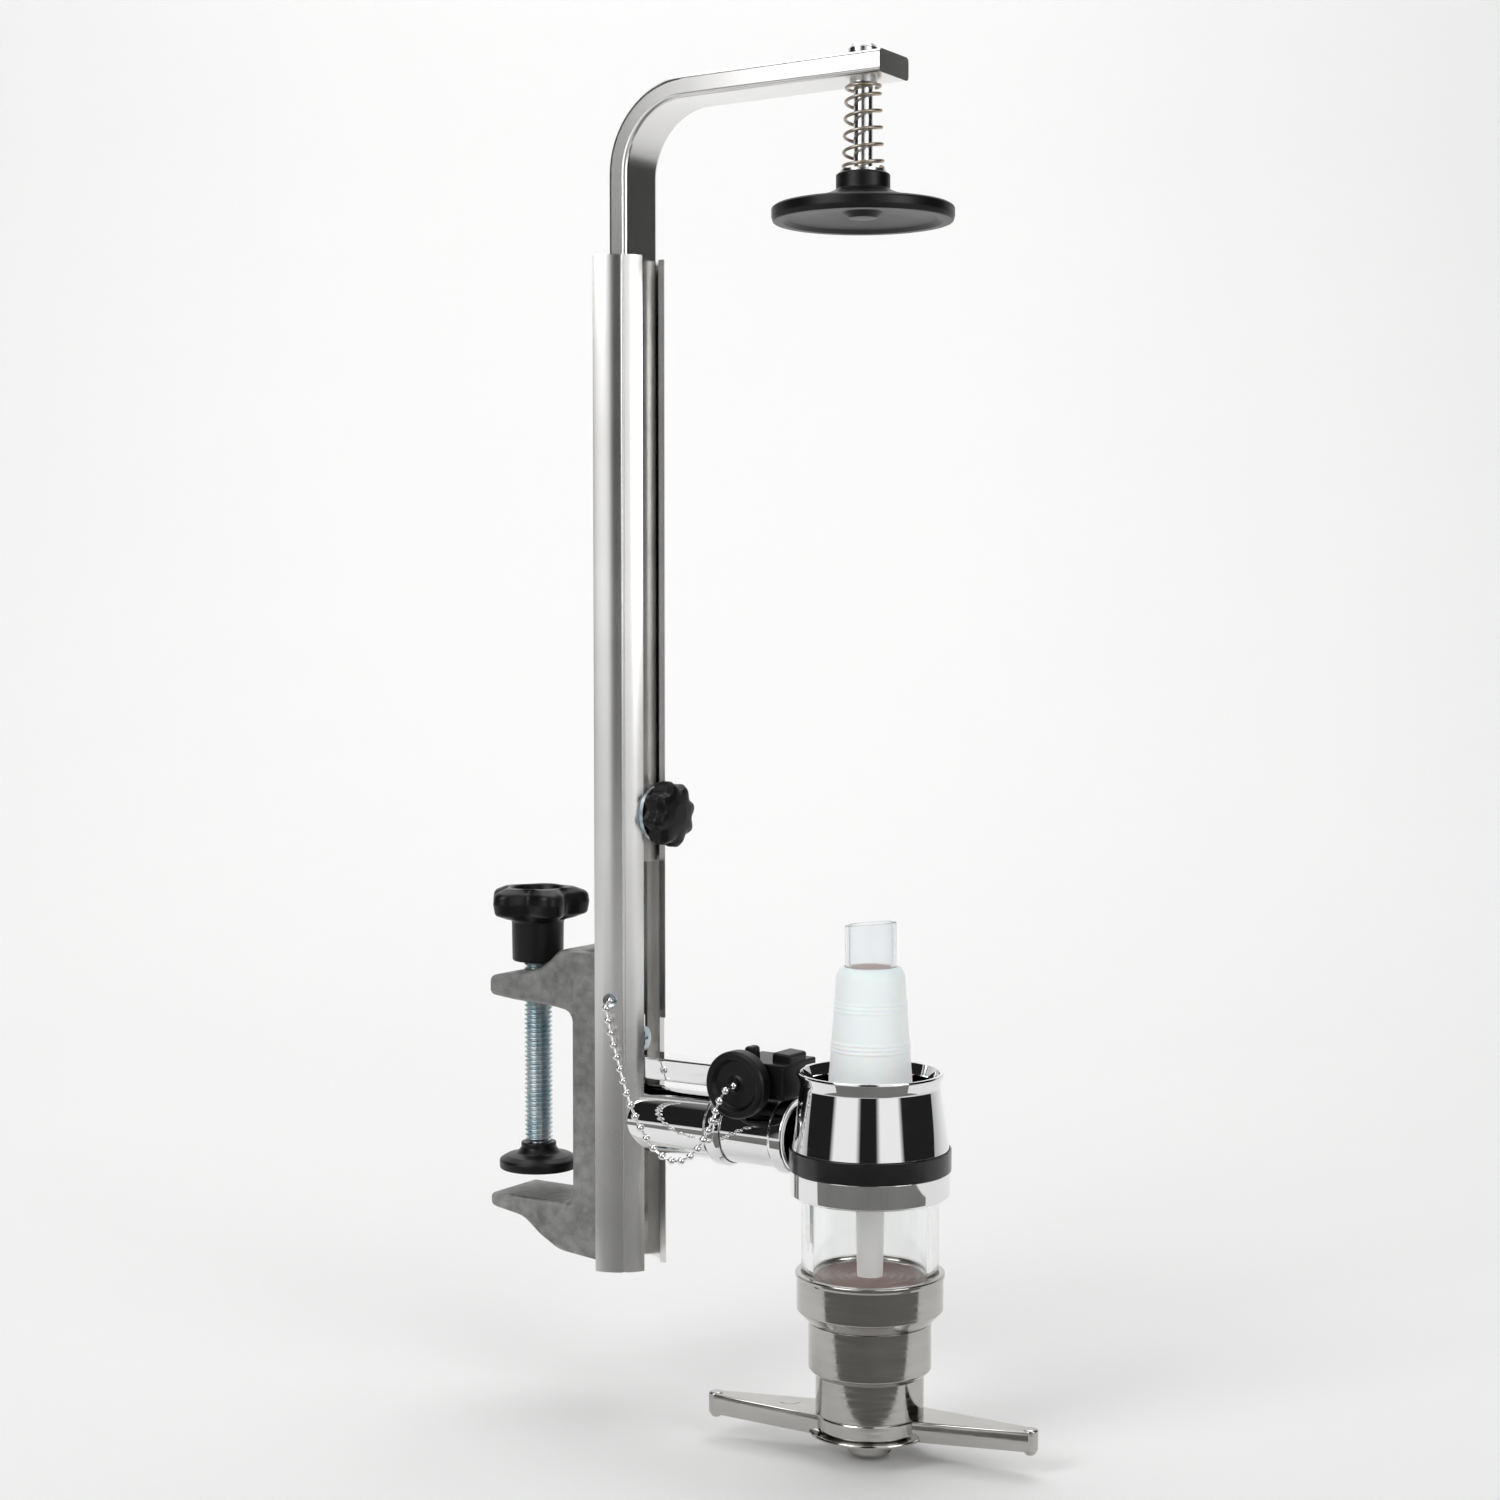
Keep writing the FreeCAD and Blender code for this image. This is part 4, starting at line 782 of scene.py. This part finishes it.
# %% Lower cup, housing and sleeve
measure("base_cup_turned", [
    (3.05, -13.0), (21.75, -13.0), (21.75, -10.0, 0.2), (23.7, -10.0, 0.5), (23.7, -11.2, 0.3),
    (23.2, -11.9, 0.2), (23.2, -21.8, 0.6), (19.75, -25.5, 0.5), (18.5, -25.7),
    (18.5, -16.4), (3.05, -16.4)],
    darker_chrome, "stand", ["base_cup"], sides=192)
measure("housing_turned", [
    (17.3, -42.35), (17.7, -42.4, 0.2), (19.45, -40.6, 0.5), (19.45, -25.75, 0.1),
    (18.45, -25.75), (18.45, -16.5), (17.3, -16.5)],
    darker_chrome, "stand", ["lower_housing"], sides=192)
measure("sleeve_turned", [
    (3.0, -60.1), (16.7, -60.1, 0.4), (17.15, -59.6, 0.3), (17.15, -55.4, 0.1),
    (16.85, -55.0, 0.1), (17.15, -54.6, 0.1), (17.15, -33.0, 0.3), (15.65, -33.0),
    (15.65, -58.3), (3.0, -58.3)],
    darker_chrome, "lever", ["lift_sleeve"], sides=192)

# %% [markdown]
# ## The lever
#
# The lever is pressed from sheet. Each arm is a tapering channel with folded skirts and a
# rounded pin at its tip. Turning one arm by half a turn gives the other.

# %% Lever
LEVER_TURN = math.radians(11.0)
UNDER = -61.4
TOP = -55.0


def skirted_arm():
    """One arm towards +X, as a top sheet and a skirt that follows its outline."""
    outline = [(12.0, -6.5), (52.5, -2.5, 0.8), (52.5, 2.5, 0.8), (12.0, 10.5)]
    top = prism_mesh("arm_top", outline, TOP - 1.2, TOP, "XY", edge=0.45)
    sheets = [top]
    for start, end in (((12.0, -6.5), (52.5, -2.5)), ((12.0, 10.5), (52.5, 2.5))):
        way = (Vector(end) - Vector(start)).normalized()
        side = Vector((-way.y, way.x)) * (1.2 if start[1] < 0 else -1.2)
        strip = [tuple(Vector(start)), tuple(Vector(end)), tuple(Vector(end) + side),
                 tuple(Vector(start) + side)]
        sheets.append(prism_mesh("skirt", strip, UNDER, TOP - 0.4, "XY", edge=0.25))
    sheets.append(turned_mesh("pin", [
        (0, -63.0), (1.4, -62.8, 0.7), (2.4, -61.2, 0.8), (2.5, -55.0, 0.6), (1.8, -54.62, 0.4),
        (0, -54.6)], centre=(52.5, 0, 0), sides=48, closed=False))
    return joined("arm", sheets)


lever_meshes = [turned_mesh("hub", [
    (3.05, UNDER), (19.2, UNDER, 0.5), (19.6, -60.9, 0.4), (19.3, -60.15, 0.4), (3.05, -60.1)])]
for turn in (0, math.pi):
    arm = skirted_arm()
    arm.transform(Matrix.Rotation(turn, 4, "Z"))
    lever_meshes.append(arm)
button = turned_mesh("button", [(0, TOP + 0.12), (3.6, TOP + 0.12, 0.2), (4.0, TOP - 0.2),
                                (0, TOP - 0.2)], centre=(-27, 0.5, 0), sides=64, closed=False)
lever_meshes.append(button)
lever_mesh = joined("pressed_lever", lever_meshes)
lever_mesh.transform(Matrix.Translation((MEASURE_X * MM, 0, 0))
                     @ Matrix.Rotation(LEVER_TURN, 4, "Z"))
piece("pressed_lever", lever_mesh, darker_chrome, "lever", ["push_lever"])
measure("spring_washer_dish", [(3.05, -63.8), (6.6, -63.8, 0.2), (11.4, -61.9, 0.2),
                               (11.5, -61.42), (3.05, -61.42)],
        chrome, "lever", ["dish_washer"])
print("measure pieces made")

# %% [markdown]
# ## Pieces kept from CAD
#
# Straight extrusions, small screws and inner parts already have their true shape, so
# they keep it and get a finish.

# %% Finishes for the CAD pieces
dressed(["rail"], rail_metal)
dressed(["arm_bar"], arm_metal)
dressed(["holder_bar", "chamber_lid"], chrome)
dressed(["rail_screws", "holder_screw", "knob_stud", "knob_washer", "chain_ferrule"], zinc)
dressed(["rod_clip", "spring_washer", "press_bush", "valve_stem"], bright_steel)
dressed(["outlet_nut"], darker_chrome)
dressed(["top_seal", "bottom_seal", "stem_seal"], pink_rubber)

# %% [markdown]
# ## Floor and light
#
# The floor sweeps up behind the stand without an edge. Chrome has no colour of its own
# and shows the room, so the room is drawn with care: two bright windows and a dark strip
# between them give each round part its light and dark bands. A grey card lies in front,
# seen only in reflections, and keeps the low chrome from showing a white floor.

# %% Floor
FLOOR_Z = -0.0695
away = Vector((-math.sin(VIEW_TURN), math.cos(VIEW_TURN), 0))
right = Vector((math.cos(VIEW_TURN), math.sin(VIEW_TURN), 0))
SWEEP_FROM = 0.7
SWEEP_RADIUS = 0.8
SWEEP_STEPS = 12
sweep = [(-2.0, FLOOR_Z), (SWEEP_FROM, FLOOR_Z)]
for n in range(1, SWEEP_STEPS + 1):
    angle = math.pi / 2 * n / SWEEP_STEPS
    sweep.append((SWEEP_FROM + SWEEP_RADIUS * math.sin(angle),
                  FLOOR_Z + SWEEP_RADIUS * (1 - math.cos(angle))))
sweep.append((SWEEP_FROM + SWEEP_RADIUS, 3.0))
floor_shell = bmesh.new()
floor_rows = [[floor_shell.verts.new(away * a + right * side + Vector((0, 0, z)))
               for side in (-2.5, 2.5)] for a, z in sweep]
for low, high in zip(floor_rows, floor_rows[1:]):
    floor_shell.faces.new((low[0], low[1], high[1], high[0]))
floor_mesh = bpy.data.meshes.new("floor")
floor_shell.to_mesh(floor_mesh)
floor_shell.free()
floor = bpy.data.objects.new("floor", floor_mesh)
bpy.context.scene.collection.objects.link(floor)
floor_paint = Finish("floor_paint", Specular_IOR_Level=0.15)
floor_cloud = floor_paint.noise(3, 2.0)
floor_paint.colour(floor_paint.mix(floor_cloud, (0.86, 0.86, 0.86, 1), (0.88, 0.88, 0.875, 1)))
floor_paint.rough(0.7 + 0.1 * floor_cloud)
floor_mesh.materials.append(floor_paint.material)
floor_mesh.shade_smooth()

# %% Card in front
CARD_FAR = -0.128
CARD_NEAR = -0.80
CARD_HALF_WIDTH = 0.5
CARD_LIFT = 0.001
card_shell = bmesh.new()
card_corners = [card_shell.verts.new(away * a + right * side
                                     + Vector((0, 0, FLOOR_Z + CARD_LIFT)))
                for a, side in ((CARD_NEAR, -CARD_HALF_WIDTH), (CARD_NEAR, CARD_HALF_WIDTH),
                                (CARD_FAR, CARD_HALF_WIDTH), (CARD_FAR, -CARD_HALF_WIDTH))]
card_shell.faces.new(card_corners)
card_mesh = bpy.data.meshes.new("card")
card_shell.to_mesh(card_mesh)
card_shell.free()
card = bpy.data.objects.new("card", card_mesh)
bpy.context.scene.collection.objects.link(card)
card_paint = Finish("card_paint", Specular_IOR_Level=0.1)
card_cloud = card_paint.noise(5, 3.0)
card_paint.colour(card_paint.mix(card_cloud, (0.13, 0.13, 0.125, 1), (0.24, 0.24, 0.235, 1)))
card_paint.rough(0.8 + 0.1 * card_cloud)
card_mesh.materials.append(card_paint.material)
card.visible_camera = False
card.visible_diffuse = False
card.visible_shadow = False

# %% Room light
class Room(Finish):
    """The world's shader, drawn as a room of windows and dark walls."""

    def __init__(self):
        world = bpy.data.worlds.new("room")
        bpy.context.scene.world = world
        world.use_nodes = True
        self.tree = world.node_tree
        self.shader = self.tree.nodes["Background"]
        self.place = self.node("ShaderNodeTexCoord").outputs["Generated"]


room = Room()
split = room.node("ShaderNodeSeparateXYZ", None, {0: room.place})
world_x, world_y, world_z = (Value(room, split.outputs[k]) for k in range(3))
across = world_x * right.x + world_y * right.y
depth = world_x * away.x + world_y * away.y
bearing = across.maths("ARCTAN2", across, depth * -1)


def window(low, high, soft=0.06):
    """1 between two bearings, measured from the camera's side towards its right."""
    return bearing.above(low - soft, low + soft) * (1 - bearing.above(high - soft, high + soft))


upper = world_z.above(-0.6, -0.3)
lit = window(-1.06, -0.36) * 1.8 + window(0.16, 0.78) * 1.8 + window(2.2, 2.9) * 0.7
sky = world_z.above(0.7, 0.95) * 0.9
strength = 0.03 + lit * upper + sky
room.feed(room.shader.inputs["Color"], (1, 1, 1, 1))
room.feed(room.shader.inputs["Strength"], strength * 0.5)


def soft_light(name, where, size, power, aim=(0.08, 0, 0.15)):
    """A large square lamp that faces a point of the stand."""
    data = bpy.data.lights.new(name, "AREA")
    data.size = size
    data.energy = power
    lamp = bpy.data.objects.new(name, data)
    bpy.context.scene.collection.objects.link(lamp)
    lamp.location = where
    lamp.rotation_euler = (Vector(aim) - Vector(where)).to_track_quat("-Z", "Y").to_euler()
    return lamp


soft_light("key", Vector((0, 0, 0.9)) - away * 0.9 - right * 0.9, 0.7, 6.5)
soft_light("fill", Vector((0, 0, 0.5)) - away * 1.0 + right * 1.1, 0.6, 4)
soft_light("backdrop", Vector((0, 0, 1.6)) + away * 0.6, 1.4, 13, tuple(away * 1.4))
bpy.context.scene.view_settings.view_transform = "Standard"
print("room lit")
